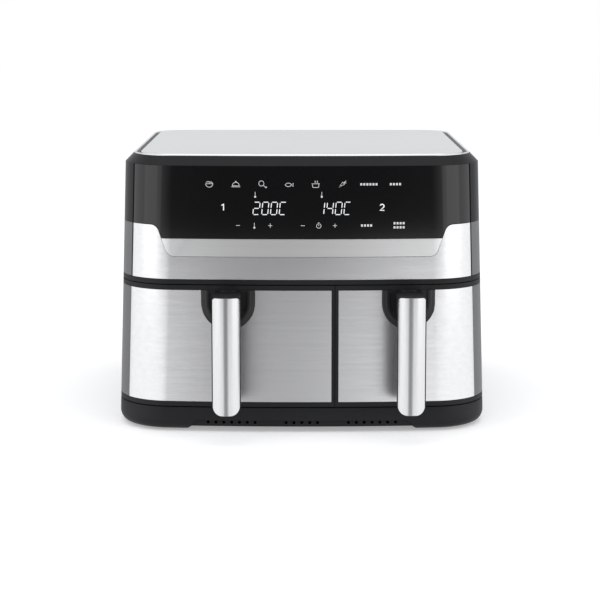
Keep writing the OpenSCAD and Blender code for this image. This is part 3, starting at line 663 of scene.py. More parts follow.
class Palette:
    """Every finish in the scene."""

    MATTE_BLACK = Finish("matte_black", (0.0125, 0.013, 0.014), 0.5, grain=1900, depth=0.00003,
                         specular=0.16)
    SIDE_GREY = Finish("side_grey", (0.105, 0.109, 0.115), 0.42, grain=2600, depth=0.000012)
    GLOSS_BLACK = Finish("gloss_black", (0.0035, 0.0037, 0.004), 0.08, depth=0.0, mottle=0.05,
                         mottle_scale=9, specular=0.4)
    HOUSING_BLACK = Finish("housing_black", (0.011, 0.0113, 0.012), 0.36, depth=0.0, mottle=0.04,
                           mottle_scale=9, specular=0.12, record_slot="gloss_black")
    STEEL = Brushed("steel", (0.6, 0.605, 0.615), 0.24, 1.0, mottle=0.07, depth=0.000003)
    PLATE_STEEL = Brushed("plate_steel", (0.74, 0.745, 0.75), 0.3, 1.0, mottle=0.05,
                          depth=0.000003, anisotropic=0.3, record_slot="steel")
    COVER_STEEL = Brushed("bright_steel", (0.55, 0.555, 0.56), 0.24, 1.0, mottle=0.05,
                          depth=0.000003, along=Axis.Z, pitch=2400, anisotropic=0.5)
    STRIP = Brushed("bright_strip", (0.8, 0.805, 0.81), 0.3, 1.0, mottle=0.03, depth=0.000002,
                    anisotropic=0.3, record_slot="bright_steel")
    HANDLE_BLACK = Finish("handle_black", (0.008, 0.0083, 0.009), 0.32, grain=2600, depth=0.00001,
                          specular=0.35, record_slot="matte_black")
    SILVER = Finish("silver_trim", (0.72, 0.725, 0.73), 0.16, 1.0, depth=0.000002, mottle=0.04,
                    record_slot="bright_steel")
    RUBBER = Finish("rubber", (0.016, 0.016, 0.016), 0.8, grain=3000, depth=0.00004)
    SILICONE = Finish("silicone", (0.19, 0.03, 0.022), 0.55, grain=1500, depth=0.00001)
    NON_STICK = Finish("non_stick", (0.02, 0.0205, 0.022), 0.38, grain=4200, depth=0.00002,
                       mottle=0.18, mottle_scale=900, coat=0.15)
    SHEET_METAL = Brushed("sheet_metal", (0.5, 0.505, 0.51), 0.34, 1.0, mottle=0.08,
                          depth=0.000003, along=Axis.Y, anisotropic=0.2)
    WIRE_STEEL = Finish("wire_steel", (0.6, 0.605, 0.61), 0.25, 1.0, depth=0.000004)
    HEATER = Finish("heater", (0.12, 0.1, 0.09), 0.5, 0.8, mottle=0.3, mottle_scale=90,
                    depth=0.00001)
    MOTOR_STEEL = Finish("motor_steel", (0.42, 0.425, 0.43), 0.38, 1.0, mottle=0.12,
                         mottle_scale=70, depth=0.000008)
    FAN_PLASTIC = Finish("fan_plastic", (0.05, 0.052, 0.055), 0.5, depth=0.00001)
    CERAMIC = Finish("ceramic", (0.72, 0.69, 0.62), 0.6, depth=0.000008)
    BRASS = Finish("brass", (0.7, 0.5, 0.2), 0.28, 1.0, depth=0.000004)
    BOARD = Finish("board", (0.02, 0.11, 0.055), 0.35, coat=0.3, mottle=0.25, mottle_scale=160,
                   depth=0.000006)
    PRINT = Lit("panel_print", (0.5, 0.505, 0.51), 0.5, glow=0.3, record_slot="gloss_black")
    DIGITS = Lit("panel_digits", (0.6, 0.62, 0.63), 0.5, glow=0.55, record_slot="gloss_black")


# ---------------------------------------------------------------- pieces
def shade(mesh: bpy.types.Mesh, sharp: float | None) -> None:
    """Smooths a mesh, with creases where faces meet at more than an angle.

    Args:
        mesh: The mesh.
        sharp: The angle in degrees, or None for no creases.
    """
    mesh.shade_smooth()
    if sharp is not None:
        mesh.set_sharp_from_angle(angle=math.radians(sharp))


def mesh_object(name: str, shells: list[Shell]) -> bpy.types.Object:
    """Makes one mesh object, in metres, with its faces outward and its seams closed.

    Args:
        name: The object's name.
        shells: Its surfaces in millimetres.

    Returns:
        The object, linked to the scene.
    """
    whole = Shell.joined(shells)
    mesh = bpy.data.meshes.new(name)
    mesh.from_pydata(whole.points * MM, [], [f for part in whole.faces for f in part.tolist()])
    work = bmesh.new()
    work.from_mesh(mesh)
    bmesh.ops.remove_doubles(work, verts=work.verts, dist=2e-6)
    bmesh.ops.dissolve_degenerate(work, edges=work.edges, dist=1e-6)
    bmesh.ops.recalc_face_normals(work, faces=work.faces)
    work.to_mesh(mesh)
    work.free()
    made = bpy.data.objects.new(name, mesh)
    bpy.context.scene.collection.objects.link(made)
    return made


def add_piece(name: str, shells: list[Shell], finish: Finish, body: str, stands_for: tuple = (),
              bevel: float = 0.0, sharp: float = 32.0, cutters: tuple = ()) -> bpy.types.Object:
    """Makes, cuts, dresses and hangs one visible piece.

    Args:
        name: The piece's name.
        shells: Its surfaces in millimetres.
        finish: Its finish.
        body: The CAD body it rides on.
        stands_for: CAD nodes that it is shown instead of.
        bevel: Width in millimetres by which its edges are rounded.
        sharp: Angle in degrees above which an edge stays a crease.
        cutters: Surfaces whose volume is taken out of it.

    Returns:
        The piece.
    """
    made = mesh_object(name, shells)
    for cutter in cutters:
        tool = mesh_object("cutter", [cutter])
        cut = made.modifiers.new("cut", "BOOLEAN")
        cut.operation, cut.solver, cut.object = "DIFFERENCE", "EXACT", tool
        result = bpy.data.meshes.new_from_object(
            made.evaluated_get(bpy.context.evaluated_depsgraph_get()))
        made.modifiers.clear()
        made.data = result
        bpy.data.objects.remove(tool)
    shade(made.data, None if bevel else sharp)
    if bevel:
        edge = made.modifiers.new("edges", "BEVEL")
        edge.width, edge.segments, edge.limit_method = bevel * MM, 3, "ANGLE"
        edge.angle_limit, edge.harden_normals = math.radians(sharp), True
    made.data.materials.clear()
    made.data.materials.append(finish.material())
    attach(made, body)
    if stands_for:
        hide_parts(*stands_for)
    log.info("%s: %d vertices, rides on %s", name, len(made.data.vertices), body)
    return made


# ---------------------------------------------------------------- the housing
@dataclass
class Bib:
    """The outline that the control panel and the bright strip share, seen from the front.

    From the middle of the strip's lower edge it rounds up a slope, then rounds out into
    level shoulders that run to the panel's ends.

    Args:
        low: Height of the strip's lower edge.
        top: Height of the strip's upper edge.
        shoulder: Height of the shoulders.
        half: Half width at the strip's upper edge.
        slope: Slope of the ends in degrees.
        radius: Radius of both roundings.
    """

    low: float = 182.0
    top: float = 200.0
    shoulder: float = 214.0
    half: float = 143.5
    slope: float = 70.0
    radius: float = 9.0

    def edge(self, grow: float) -> np.ndarray:
        """The right half of the outline, grown outwards.

        Args:
            grow: Distance.

        Returns:
            (n, 2) points of x and z, in order of x.
        """
        lean = 90 - self.slope
        reach = self.radius * math.tan(math.radians(self.slope / 2))
        run = 1 / math.tan(math.radians(self.slope))
        foot = self.half + (self.low - self.top) * run - reach
        head = self.half + (self.shoulder - self.top) * run + reach
        return np.concatenate([
            [[0, self.low - grow]],
            arc(foot, self.low + self.radius, self.radius + grow, -90, -lean, 13),
            arc(head, self.shoulder - self.radius, self.radius - grow, 180 - lean, 90, 13),
            [[400, self.shoulder - grow]]])

    def height(self, outline: BodyOutline, t: np.ndarray, grow: float, floor: float = 0.0) -> np.ndarray:
        """Height of the outline at stations of the front.

        The place across depends a little on the height, so it is found in five rounds.

        Args:
            outline: The body's outline.
            t: Stations.
            grow: Distance by which the outline is grown.
            floor: Least height given back.

        Returns:
            One height for each station.
        """
        edge = self.edge(grow)
        z = np.full(len(t), self.top)
        for _ in range(5):
            x = np.abs(outline.point(t, z, 0.0)[..., 0])
            z = np.interp(x, edge[:, 0], edge[:, 1])
        return np.maximum(z, floor)

    def stations(self, outline: BodyOutline, end: float, grow: float) -> np.ndarray:
        """Stations that put a column on every point of the outline.

        Args:
            outline: The body's outline.
            end: The last station.
            grow: Distance by which the outline is grown.

        Returns:
            Increasing stations from -end to end.
        """
        edge = self.edge(grow)[1:-1]
        marks = outline.station(edge[:, 0], edge[:, 1])
        half = np.union1d(spread((0, outline.blend, 13), (outline.blend, end, 29)), marks)
        half = half[half <= end]
        return np.concatenate([-half[:0:-1], half])


@dataclass
class Base:
    """The plinth: a tray with four lobes that hold the feet.

    Args:
        outline: The body's outline.
        height: Its height above the surface.
        floor: Height of the lobes' undersides; not used.
        belly: Height of the underside between the lobes.
        lobe: Length of each lobe.
        recess: Height of the recessed band between the front lobes.
        vent_r: Radius of an intake hole.
        vent_pitch: Distance between holes.
        vent_groups: Middle and half count of each group of holes.
    """

    outline: BodyOutline
    height: float = 26.0
    floor: float = 2.0
    belly: float = 6.0
    lobe: float = 70.0
    recess: float = 12.6
    vent_r: float = 1.6
    vent_pitch: float = 8.1
    vent_groups: tuple = ((-72.5, 3), (0.0, 2), (72.5, 3))

    def profile(self) -> np.ndarray:
        """The wall's section: an elliptic quarter from the underside to the upright face.

        Returns:
            (n, 2) heights and insets from the underside up, over the rim and down inside.
        """
        a = np.radians(np.linspace(0, 90, 11))
        skirt = np.stack([13 - 11 * np.cos(a), 9 * (1 - np.sin(a))], -1)
        rim = [[18, 0], [self.height - 1, 0], [self.height - 0.3, 0.3], [self.height, 1.0],
               [self.height, 3.7], [8.2, 3.7]]
        return np.concatenate([skirt, rim])

    def cutters(self) -> tuple:
        """Returns the shapes that raise the underside, sink the band and pierce the holes."""
        o, edge = self.outline, self.outline.width / 2 - self.lobe
        side = o.width / 2 + 20
        front, back = o.front_y + self.lobe, o.back_y - self.lobe
        across = np.array([[-edge, -1], [edge, -1], [edge - 9, self.belly], [-edge + 9, self.belly]])
        along = np.array([[front, -1], [back, -1], [back - 9, self.belly], [front + 9, self.belly]])
        x = np.linspace(-1, 1, 61)
        z = np.array([1.0, 4.0, 8.0, self.recess])[:, None]
        reach = edge - 15 * z / 13
        band = slab(o.on_front(x * reach, z, -3.0), o.on_front(x * reach, z, 1.9))
        holes = [prism(arc(middle + i * self.vent_pitch, 10.2, self.vent_r, 0, 345, 24), Axis.Y,
                       o.front_y - 6, o.front_y + 22)
                 for middle, n in self.vent_groups for i in range(-n, n + 1)]
        return (prism(across, Axis.Y, o.front_y - 20, o.back_y + 20),
                prism(along, Axis.X, -side, side), band, Shell.joined(holes))

    def build(self) -> None:
        """Makes the plinth."""
        z, inset = self.profile().T
        add_piece("plinth_moulding", [self.outline.loft(self.outline.ring(), z, inset)],
                  Palette.MATTE_BLACK, "housing", ("base_pan",), sharp=30, cutters=self.cutters())


@dataclass
class Walls:
    """The shell's wall with its raised bands, and the four grey side panels on it.

    Args:
        outline: The body's outline.
        bands: (low, high) of each band that comes out to the full outline.
        bottom: Height of the wall's lower edge.
        top: Height of its upper edge.
        side_t: Depth of the panels' recess.
        inner: Inset of the wall's inner face.
        rear_window: Half width, low and high of the opening behind the rear cover.
        rear_corner: Station at which the recess of the side panels ends.
        bush_hole: Place across, height and radius of the hole for the cord bush.
    """

    outline: BodyOutline
    bands: tuple = ((27.0, 31.7), (147.8, 152.5), (153.5, 158.2))
    bottom: float = 27.0
    top: float = 214.0
    side_t: float = 1.2
    inner: float = 3.7
    rear_window: tuple = (120.0, 76.0, 194.0)
    rear_corner: float = 100.8
    bush_hole: tuple = (118.0, 44.0, 9.05)

    def wall(self) -> Shell:
        """The wall from one end of the front opening round the back to the other.

        Each band's edges are two rows at one height with different insets, and the rear
        corners are two columns at one station.

        Returns:
            The closed wall.
        """
        o = self.outline
        z, inset = [self.bottom], [0.0]
        for low, high in self.bands:
            z += [low, low, high, high]
            inset += [self.side_t, 0.0, 0.0, self.side_t]
        z, inset = np.array(z[2:] + [self.top]), np.array(inset[2:] + [self.side_t])
        half = np.concatenate([spread((o.wrap, 90, 15), (90, 100, 7)),
                               self.rear_corner + np.zeros(1),
                               spread((self.rear_corner, 190, 17), (190, 200, 5))])
        t = np.concatenate([half, -half[-2::-1]])
        rear = np.abs(t) > 100
        step = int(np.searchsorted(half, self.rear_corner))
        rear[[step, len(t) - 1 - step]] = False
        depth = np.where(rear[None, :], 0.0, inset[:, None])
        return slab(o.point(t[None, :], z[:, None], depth), o.point(t[None, :], z[:, None], self.inner))

    def side_panel(self, side: Side, low: float, high: float) -> Shell:
        """One panel.

        Args:
            side: The side it is on.
            low: Height of its lower edge.
            high: Height of its upper edge.

        Returns:
            The closed panel.
        """
        start = 2 * self.outline.wrap - self.outline.edge
        t = spread((start, 90, 21), (90, 100, 9)) * side.value
        return self.outline.sheet(np.sort(t), low, high, 0.0, self.side_t - 0.05, 5)

    def build(self) -> None:
        """Makes the wall and the panels."""
        half, low, high = self.rear_window
        back = self.outline.back_y
        cutters = (block((-half, back - 20, low), (half, back + 10, high)),
                   prism(arc(*self.bush_hole, 0, 350, 36), Axis.Y, back - 12, back + 10))
        add_piece("shell_moulding", [self.wall()], Palette.MATTE_BLACK, "housing", ("body_shell",),
                  cutters=cutters)
        for side in Side:
            for level, low, high in (("lower", 32.0, 147.5), ("upper", 158.5, 213.7)):
                add_piece(f"{side.prefix}_{level}_panel", [self.side_panel(side, low, high)],
                          Palette.SIDE_GREY, "housing", (f"{side.prefix}_{level}_side",), bevel=0.35)


@dataclass
class Top:
    """The gloss housing with its bevel, the silver rim and the steel plate.

    Args:
        outline: The body's outline.
        shoulder: Height of the housing's lower edge.
        panel_top: Height at which the bevel starts.
        deck: Height of the deck.
        bevel: Width of the bevel.
        panel_in: Depth of the step that holds the control panel.
        rim: Insets of the rim's two edges.
        well: Inset of the plate's well.
        plate: Inset of the plate.
        rise: Height of the plate above the deck.
    """

    outline: BodyOutline
    shoulder: float = 214.0
    panel_top: float = 274.5
    deck: float = 283.5
    bevel: float = 8.5
    panel_in: float = 1.6
    rim: tuple = (8.9, 11.3)
    well: float = 14.8
    plate: float = 15.8
    rise: float = 1.5

    def housing(self) -> list[Shell]:
        """The ring of the housing, stepped in behind the control panel, and its skirt.

        Returns:
            The two closed surfaces.
        """
        o = self.outline
        t = o.ring((o.wrap,))
        right, left = np.searchsorted(t, [o.wrap - 1e-6, -o.wrap - 1e-6])
        t = np.insert(t, [left, right], [-o.wrap, o.wrap])
        behind = np.zeros(len(t), bool)
        behind[left + 1:right + 2] = True
        outer = np.array([[self.shoulder, 0], [self.panel_top, 0], [self.panel_top, 0]])
        rest = np.array([[self.deck - 0.9, self.bevel - 0.85], [self.deck - 0.35, self.bevel - 0.3],
                         [self.deck - 0.08, self.bevel + 0.1], [self.deck, self.bevel + 0.4],
                         [self.deck, self.well], [self.deck - 2.5, self.well],
                         [self.deck - 5.5, self.bevel + 4], [self.panel_top - 4, 3.4],
                         [self.shoulder, 3.4]])
        z, inset = np.concatenate([outer, rest]).T
        grid = np.repeat(inset[:, None], len(t), 1)
        grid[:2, behind] = self.panel_in
        skirt = o.sheet(spread((-o.edge, o.edge, 81)), 158.5, self.shoulder, self.panel_in, 3.7, 3)
        return [o.loft(t, z, grid, closed=True), skirt]

    def build(self) -> None:
        """Makes the housing, rim and plate."""
        o = self.outline
        add_piece("top_moulding", self.housing(), Palette.HOUSING_BLACK, "housing", ("top_housing",),
                  sharp=25)
        a = np.radians(np.linspace(0, 180, 11))
        low, high = self.rim
        z = self.deck + 1.2 * np.sin(a)
        inset = (low + high) / 2 - (high - low) / 2 * np.cos(a)
        add_piece("rim_trim", [o.loft(o.ring(), z, inset, closed=True)], Palette.SILVER, "housing",
                  ("silver_rim",), sharp=60)
        a = np.radians(np.linspace(0, 90, 7))
        z = np.concatenate([[self.deck - 2.45], self.deck + self.rise - 1.2 * (1 - np.sin(a)),
                            [self.deck + self.rise] * 3])
        inset = np.concatenate([[self.plate], self.plate + 1.6 * (1 - np.cos(a)),
                                self.plate + np.array([2.2, 6, 20])])
        add_piece("top_plate_sheet", [o.loft(o.ring(), z, inset)], Palette.PLATE_STEEL, "housing",
                  ("top_plate",), sharp=50)


@dataclass
class Front:
    """Everything on the front over the drawers: panel, strip, fascia, belt and mouth.

    Args:
        outline: The body's outline.
        bib: The outline that the panel and the strip share.
        fascia: Height of the fascia's lower edge.
        panel_top: Height of the panel's upper edge.
        belt: Heights of the belt.
        mouth_y: Front of the plate round the drawer mouths.
        liner_y: Back of that plate.
    """

    outline: BodyOutline
    bib: Bib
    mouth_y: float
    liner_y: float
    fascia: float = 158.5
    panel_top: float = 274.45
    belt: tuple = (153.5, 158.2)

    def strip(self) -> Shell:
        """The bright strip, whose ends close to a point under the panel.

        Returns:
            The closed strip.
        """
        o, bib = self.outline, self.bib
        t = bib.stations(o, 30.0, 0.0)
        tip = float(o.station(np.array(bib.half), np.array(bib.top)))
        t = np.union1d(t[np.abs(t) < tip], [-tip, tip])
        low = np.minimum(bib.height(o, t, 0.0), bib.top)
        low[[0, -1]] = bib.top - 0.02
        return o.sheet(t, low, bib.top, -0.3, 1.5, 7)

    def mouth(self) -> list[Shell]:
        """The belt, the plate with a window for each drawer, and the two shelves.

        Returns:
            The closed surfaces.
        """
        o = self.outline
        belt = o.sheet(spread((-o.edge, o.edge, 81)), *self.belt, 0.0, 3.7, 3)
        xs, zs = [-184.0], [23.4]
        for side in Side:
            low, high = (tuple(v / MM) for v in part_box(f"{side.prefix}_liner"))
            xs += [low[0] + 0.8, high[0] - 0.8]
            zs += [low[2] + 0.8, 150.2] if side is Side.LEFT else []
        x, z = np.array(xs + [184.0]), np.array(zs + [157.5])
        keep = np.ones((3, 5), bool)
        keep[1, [1, 3]] = False
        grid = np.stack(np.meshgrid(x, [0.0], z, indexing="ij"), -1)[:, 0].transpose(1, 0, 2)
        grid[:, -1, 0] = o.corner_reach(self.mouth_y, z, 3.9)
        grid[:, 0, 0] = -grid[:, -1, 0]
        front, back = grid.copy(), grid.copy()
        front[..., 1], back[..., 1] = self.mouth_y, self.liner_y
        shells = [belt, slab(front, back, keep)]
        for low, high in ((23.4, 25.6), (155.3, 157.5)):
            t = spread((-57, 57, 61))
            edge = o.point(t[None, :], np.array([[low], [high]]), 4.2)
            rear = edge.copy()
            rear[..., 1] = self.liner_y
            shells.append(slab(edge, rear))
        return shells

    def build(self) -> None:
        """Makes the five pieces."""
        o, bib = self.outline, self.bib
        t = bib.stations(o, o.edge, 0.0)
        low = bib.height(o, t, 0.0, bib.top + 0.2)
        add_piece("panel_glass", [o.sheet(t, low, self.panel_top, 0.0, 1.5, 25)], Palette.GLOSS_BLACK,
                  "housing", ("control_panel",), bevel=0.3)
        add_piece("strip_trim", [self.strip()], Palette.STRIP, "housing", ("bright_strip",), bevel=0.25)
        t = bib.stations(o, o.edge, 0.3)
        add_piece("fascia_sheet", [o.sheet(t, self.fascia, bib.height(o, t, 0.3), 0.0, 1.5, 13)],
                  Palette.STEEL, "housing", ("front_fascia",), bevel=0.25)
        add_piece("mouth_moulding", self.mouth(), Palette.MATTE_BLACK, "housing", ("mouth_frame",))


# ---------------------------------------------------------------- the drawers
@dataclass
class Drawer:
    """A drawer's front, handle and pan.

    Args:
        outline: The body's outline.
        side: Which drawer.
        divider: Place of the line between the drawers.
        bar: Width of the front's bar beside that line.
        bottom: Height of the front's lower edge.
        top: Height of its upper edge.
        steel: Heights of the steel.
        skin_t: Thickness of the steel, and depth of its recess.
        wall: Thickness of the mouldings.
        plate_r: Radius of the handle's plate.
        plate_z: Height of that radius's centre.
    """

    outline: BodyOutline
    side: Side
    divider: float = 34.0
    bar: float = 3.2
    bottom: float = 27.0
    top: float = 152.5
    steel: tuple = (32.0, 147.5)
    skin_t: float = 0.8
    wall: float = 2.5
    plate_r: float = 27.25
    plate_z: float = 134.5

    def __post_init__(self) -> None:
        """Takes the handle's, pan's and frame's places from the CAD nodes."""
        name = self.side.prefix
        self.body = f"{name}_drawer"
        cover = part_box(f"{name}_handle_cover")
        self.handle_x = (cover[0].x + cover[1].x) / 2 / MM
        self.pan_box = tuple(tuple(v / MM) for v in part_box(f"{name}_pan"))
        self.frame_y = self.pan_box[0][1]
        self.frame_x = (self.pan_box[0][0], self.pan_box[1][0])

    def columns(self, gap: float, extra: tuple = ()) -> tuple:
        """Columns of the front, upright at the divider and on the outline at the wrapped end.

        Round the corner a column is one station; on the bow it is a share of the way from
        the blend to the divider, so the last column stands upright.

        Args:
            gap: Distance from the divider line to the last column.
            extra: More places across, on the bow.

        Returns:
            Stations of the corner's columns, and places across of the bow's columns.
        """
        o, s = self.outline, self.side.value
        corner = s * spread((o.blend, o.edge, 25))[::-1]
        bow = spread((self.divider + s * gap, s * 118.0, 29), *((x, x, 1) for x in extra))
        return corner, bow if s < 0 else bow[::-1]

    def face(self, z: np.ndarray, inset: np.ndarray, gap: float, extra: tuple = ()) -> np.ndarray:
        """A grid over the front from the wrapped end to the divider.

        Args:
            z: Height of each row, or a grid.
            inset: Inset, one or a grid.
            gap: Distance from the divider line to the last column.
            extra: More places across.

        Returns:
            (rows, columns, 3) points.
        """
        corner, bow = self.columns(gap, extra)
        z, inset = np.asarray(z, float), np.asarray(inset, float)
        z = z[:, None] if z.ndim == 1 else z
        n = len(corner)
        zc, zb = (z, z) if z.shape[1] == 1 else (z[:, :n], z[:, n:])
        ic, ib = (inset, inset) if inset.ndim < 2 or inset.shape[1] == 1 else (inset[:, :n], inset[:, n:])
        return np.concatenate([self.outline.point(corner[None, :], zc, ic),
                               self.outline.on_front(bow[None, :], zb, ib)], 1)

    def frame(self) -> list[Shell]:
        """The moulded front with its steel recess, and the box behind it.

        The recess's edges are two rows, or two columns, at one place with different insets.

        Returns:
            The closed surfaces.
        """
        s, seam = self.side.value, self.outline.seam / 2
        low, high = self.steel
        z = np.array([self.bottom, self.bottom + 0.01, low, low, *np.linspace(low + 9, high - 9, 9),
                      high, high, self.top - 0.01, self.top])
        edge = self.divider + s * (seam + self.bar)
        corner, bow = self.columns(seam, (edge, edge + s * 1e-4))
        x = np.concatenate([np.full(len(corner), s * 1e3), bow])
        in_steel = s * (x - edge) > 5e-5
        rows = (np.arange(len(z)) > 2) & (np.arange(len(z)) < len(z) - 3)
        inset = np.where(rows[:, None] & in_steel[None, :], self.skin_t, 0.0)
        front = self.face(z, inset, seam, (edge, edge + s * 1e-4))
        back = self.face(z, np.full(inset.shape, self.skin_t + self.wall), seam,
                         (edge, edge + s * 1e-4))
        return [slab(front, back), self.flange()]

    def flange(self) -> Shell:
        """The four walls that run back from the front to the pan's plate.

        Returns:
            The closed ring, rounded at its corners.
        """
        x0, x1 = self.frame_x
        outer = round_rect(x0, x1, self.bottom, self.top, 3.0)
        inner = round_rect(x0 + self.wall, x1 - self.wall, self.bottom + self.wall,
                           self.top - self.wall, 1.0)
        rows = [self.outline.on_front(ring[:, 0], ring[:, 1], 2.2) for ring in (outer, inner)]
        backs = [row.copy() for row in rows]
        for row in backs:
            row[:, 1] = self.frame_y
        return tube(np.stack([rows[0], backs[0], backs[1], rows[1]]), closed=True)

    def skin(self) -> Shell:
        """The steel skin, cut out round the handle's plate.

        Below the plate each column's middle row follows the cut's lower arc,
        z = centre - sqrt(r^2 - (x - handle)^2); above it the cut's columns are left out.

        Returns:
            The closed skin.
        """
        s, r = self.side.value, self.plate_r + 0.3
        gap = self.outline.seam / 2 + self.bar + 0.15
        low, high = self.steel[0] + 0.05, self.steel[1] - 0.05
        cut = tuple(self.handle_x - r * np.cos(np.radians(np.linspace(0, 180, 25))))
        corner, bow = self.columns(gap, cut)
        x = np.concatenate([np.full(len(corner), s * 1e3), bow])
        inside = np.abs(x - self.handle_x) < r - 1e-6
        middle = self.plate_z - np.sqrt(np.maximum(r * r - (x - self.handle_x) ** 2, 0))
        middle = np.where(inside, middle, self.plate_z)
        v = np.linspace(0, 1, 9)[:, None]
        z = np.concatenate([low + v * (middle - low), middle + v[1:4] * 8 / 3 * (high - middle)])
        between = inside[:-1] | inside[1:]
        keep = np.ones((len(z) - 1, len(x) - 1), bool)
        keep[8:, between] = False
        return slab(self.face(z, 0.0, gap, cut), self.face(z, self.skin_t - 0.05, gap, cut), keep)

    def escutcheon(self) -> Shell:
        """The U-shaped plate behind the handle, with concentric steps.

        Columns run down one side, round the lower arc and up the other; row d is that U
        moved inwards by d, which ends in a line up the middle.

        Returns:
            The closed plate.
        """
        top = self.steel[1] - 0.05
        steps = np.array([[0, 0.3], [0.25, -0.45], [0.6, -0.72], [3.4, -0.75], [3.7, -0.85], [4.0, -1.3],
                          [4.4, -1.48], [8.0, -1.5], [8.3, -1.4], [8.6, -1.0], [9.0, -0.95],
                          [18, -0.95], [self.plate_r, -0.95]])
        a = np.radians(np.linspace(180, 360, 41))
        v = np.linspace(1, 0, 5)[:, None]
        d = steps[:, :1]
        r = self.plate_r - d
        arm = np.concatenate([-np.ones(4), np.cos(a), np.ones(4)])
        lift = np.concatenate([v[:-1, 0], np.zeros(len(a)), v[::-1, 0][1:]])
        round_z = np.concatenate([np.zeros(4), np.sin(a), np.zeros(4)])
        x = self.handle_x + r * arm
        z = self.plate_z + r * round_z + lift * (top - self.plate_z)
        inset = np.broadcast_to(steps[:, 1:], x.shape)
        return slab(self.outline.on_front(x, z, inset), self.outline.on_front(x, z, 0.75))

    def pan(self) -> list[Shell]:
        """The tub with its rolled rim, and the plate that closes the front.

        The section runs under the floor, up outside, over the rim and down inside; the
        offset fades to nothing towards the front, where the plate closes the tub.

        Returns:
            The closed surfaces.
        """
        (x0, _, z0), (x1, y1, z1) = self.pan_box
        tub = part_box(f"{self.side.prefix}_tray")
        tx0, tx1 = tub[0].x / MM - 3.0, tub[1].x / MM + 3.0
        floor = 36.1
        y0, y1 = self.frame_y + self.wall, y1 - 3.0
        ring = round_rect(tx0, tx1, y0 - 22, y1, 24, 13)
        ring[:, 1] = np.maximum(ring[:, 1], y0)
        core = round_rect(tx0 + 24, tx1 - 24, y0 + 2, y1 - 24, 0.001, 13)
        away = ring - core
        away /= np.maximum(np.linalg.norm(away, axis=1, keepdims=True), 1e-9)
        away[ring[:, 1] <= y0 + 1e-6] *= [1, 0]
        a = np.radians(np.linspace(90, 0, 6))
        outer = np.stack([-7 * (1 - np.cos(a)), floor + 7 * (1 - np.sin(a))], -1)
        lip = np.array([[0, 137.6], [0.4, 138.1], [2.4, 138.1], [3, 138.6], [3, 139.5], [2.5, 140.1],
                        [-1.0, 140.1], [-1.5, 139.6]])
        inner = np.stack([-1.5 - 8 * (1 - np.cos(a)), floor + 1.5 + 8 * (1 - np.sin(a))], -1)[::-1]
        section = np.concatenate([outer, lip, inner])
        flat = ring[None] + away[None] * section[:, None, :1]
        grid = np.concatenate([flat, np.broadcast_to(section[:, None, 1:], (*flat.shape[:2], 1))], -1)
        (px0, px1), low, high = self.frame_x, self.bottom + 3, self.top - 1
        plate = prism(round_rect(px0, px1, low, high, 2.5), Axis.Y, self.frame_y, y0)
        return [tube(grid), plate]

    def build(self) -> None:
        """Makes the drawer's pieces and its handle."""
        name = self.side.prefix
        add_piece(f"{name}_front_moulding", self.frame(), Palette.MATTE_BLACK, self.body,
                  (f"{name}_front_frame",))
        add_piece(f"{name}_front_sheet", [self.skin()], Palette.STEEL, self.body,
                  (f"{name}_front_skin",), bevel=0.15, sharp=50)
        add_piece(f"{name}_escutcheon", [self.escutcheon()], Palette.HANDLE_BLACK, self.body,
                  (f"{name}_handle_plate",), sharp=50)
        add_piece(f"{name}_pan_tub", self.pan(), Palette.NON_STICK, self.body, (f"{name}_pan",))
        Handle(self.outline, self.side, self.handle_x).build()


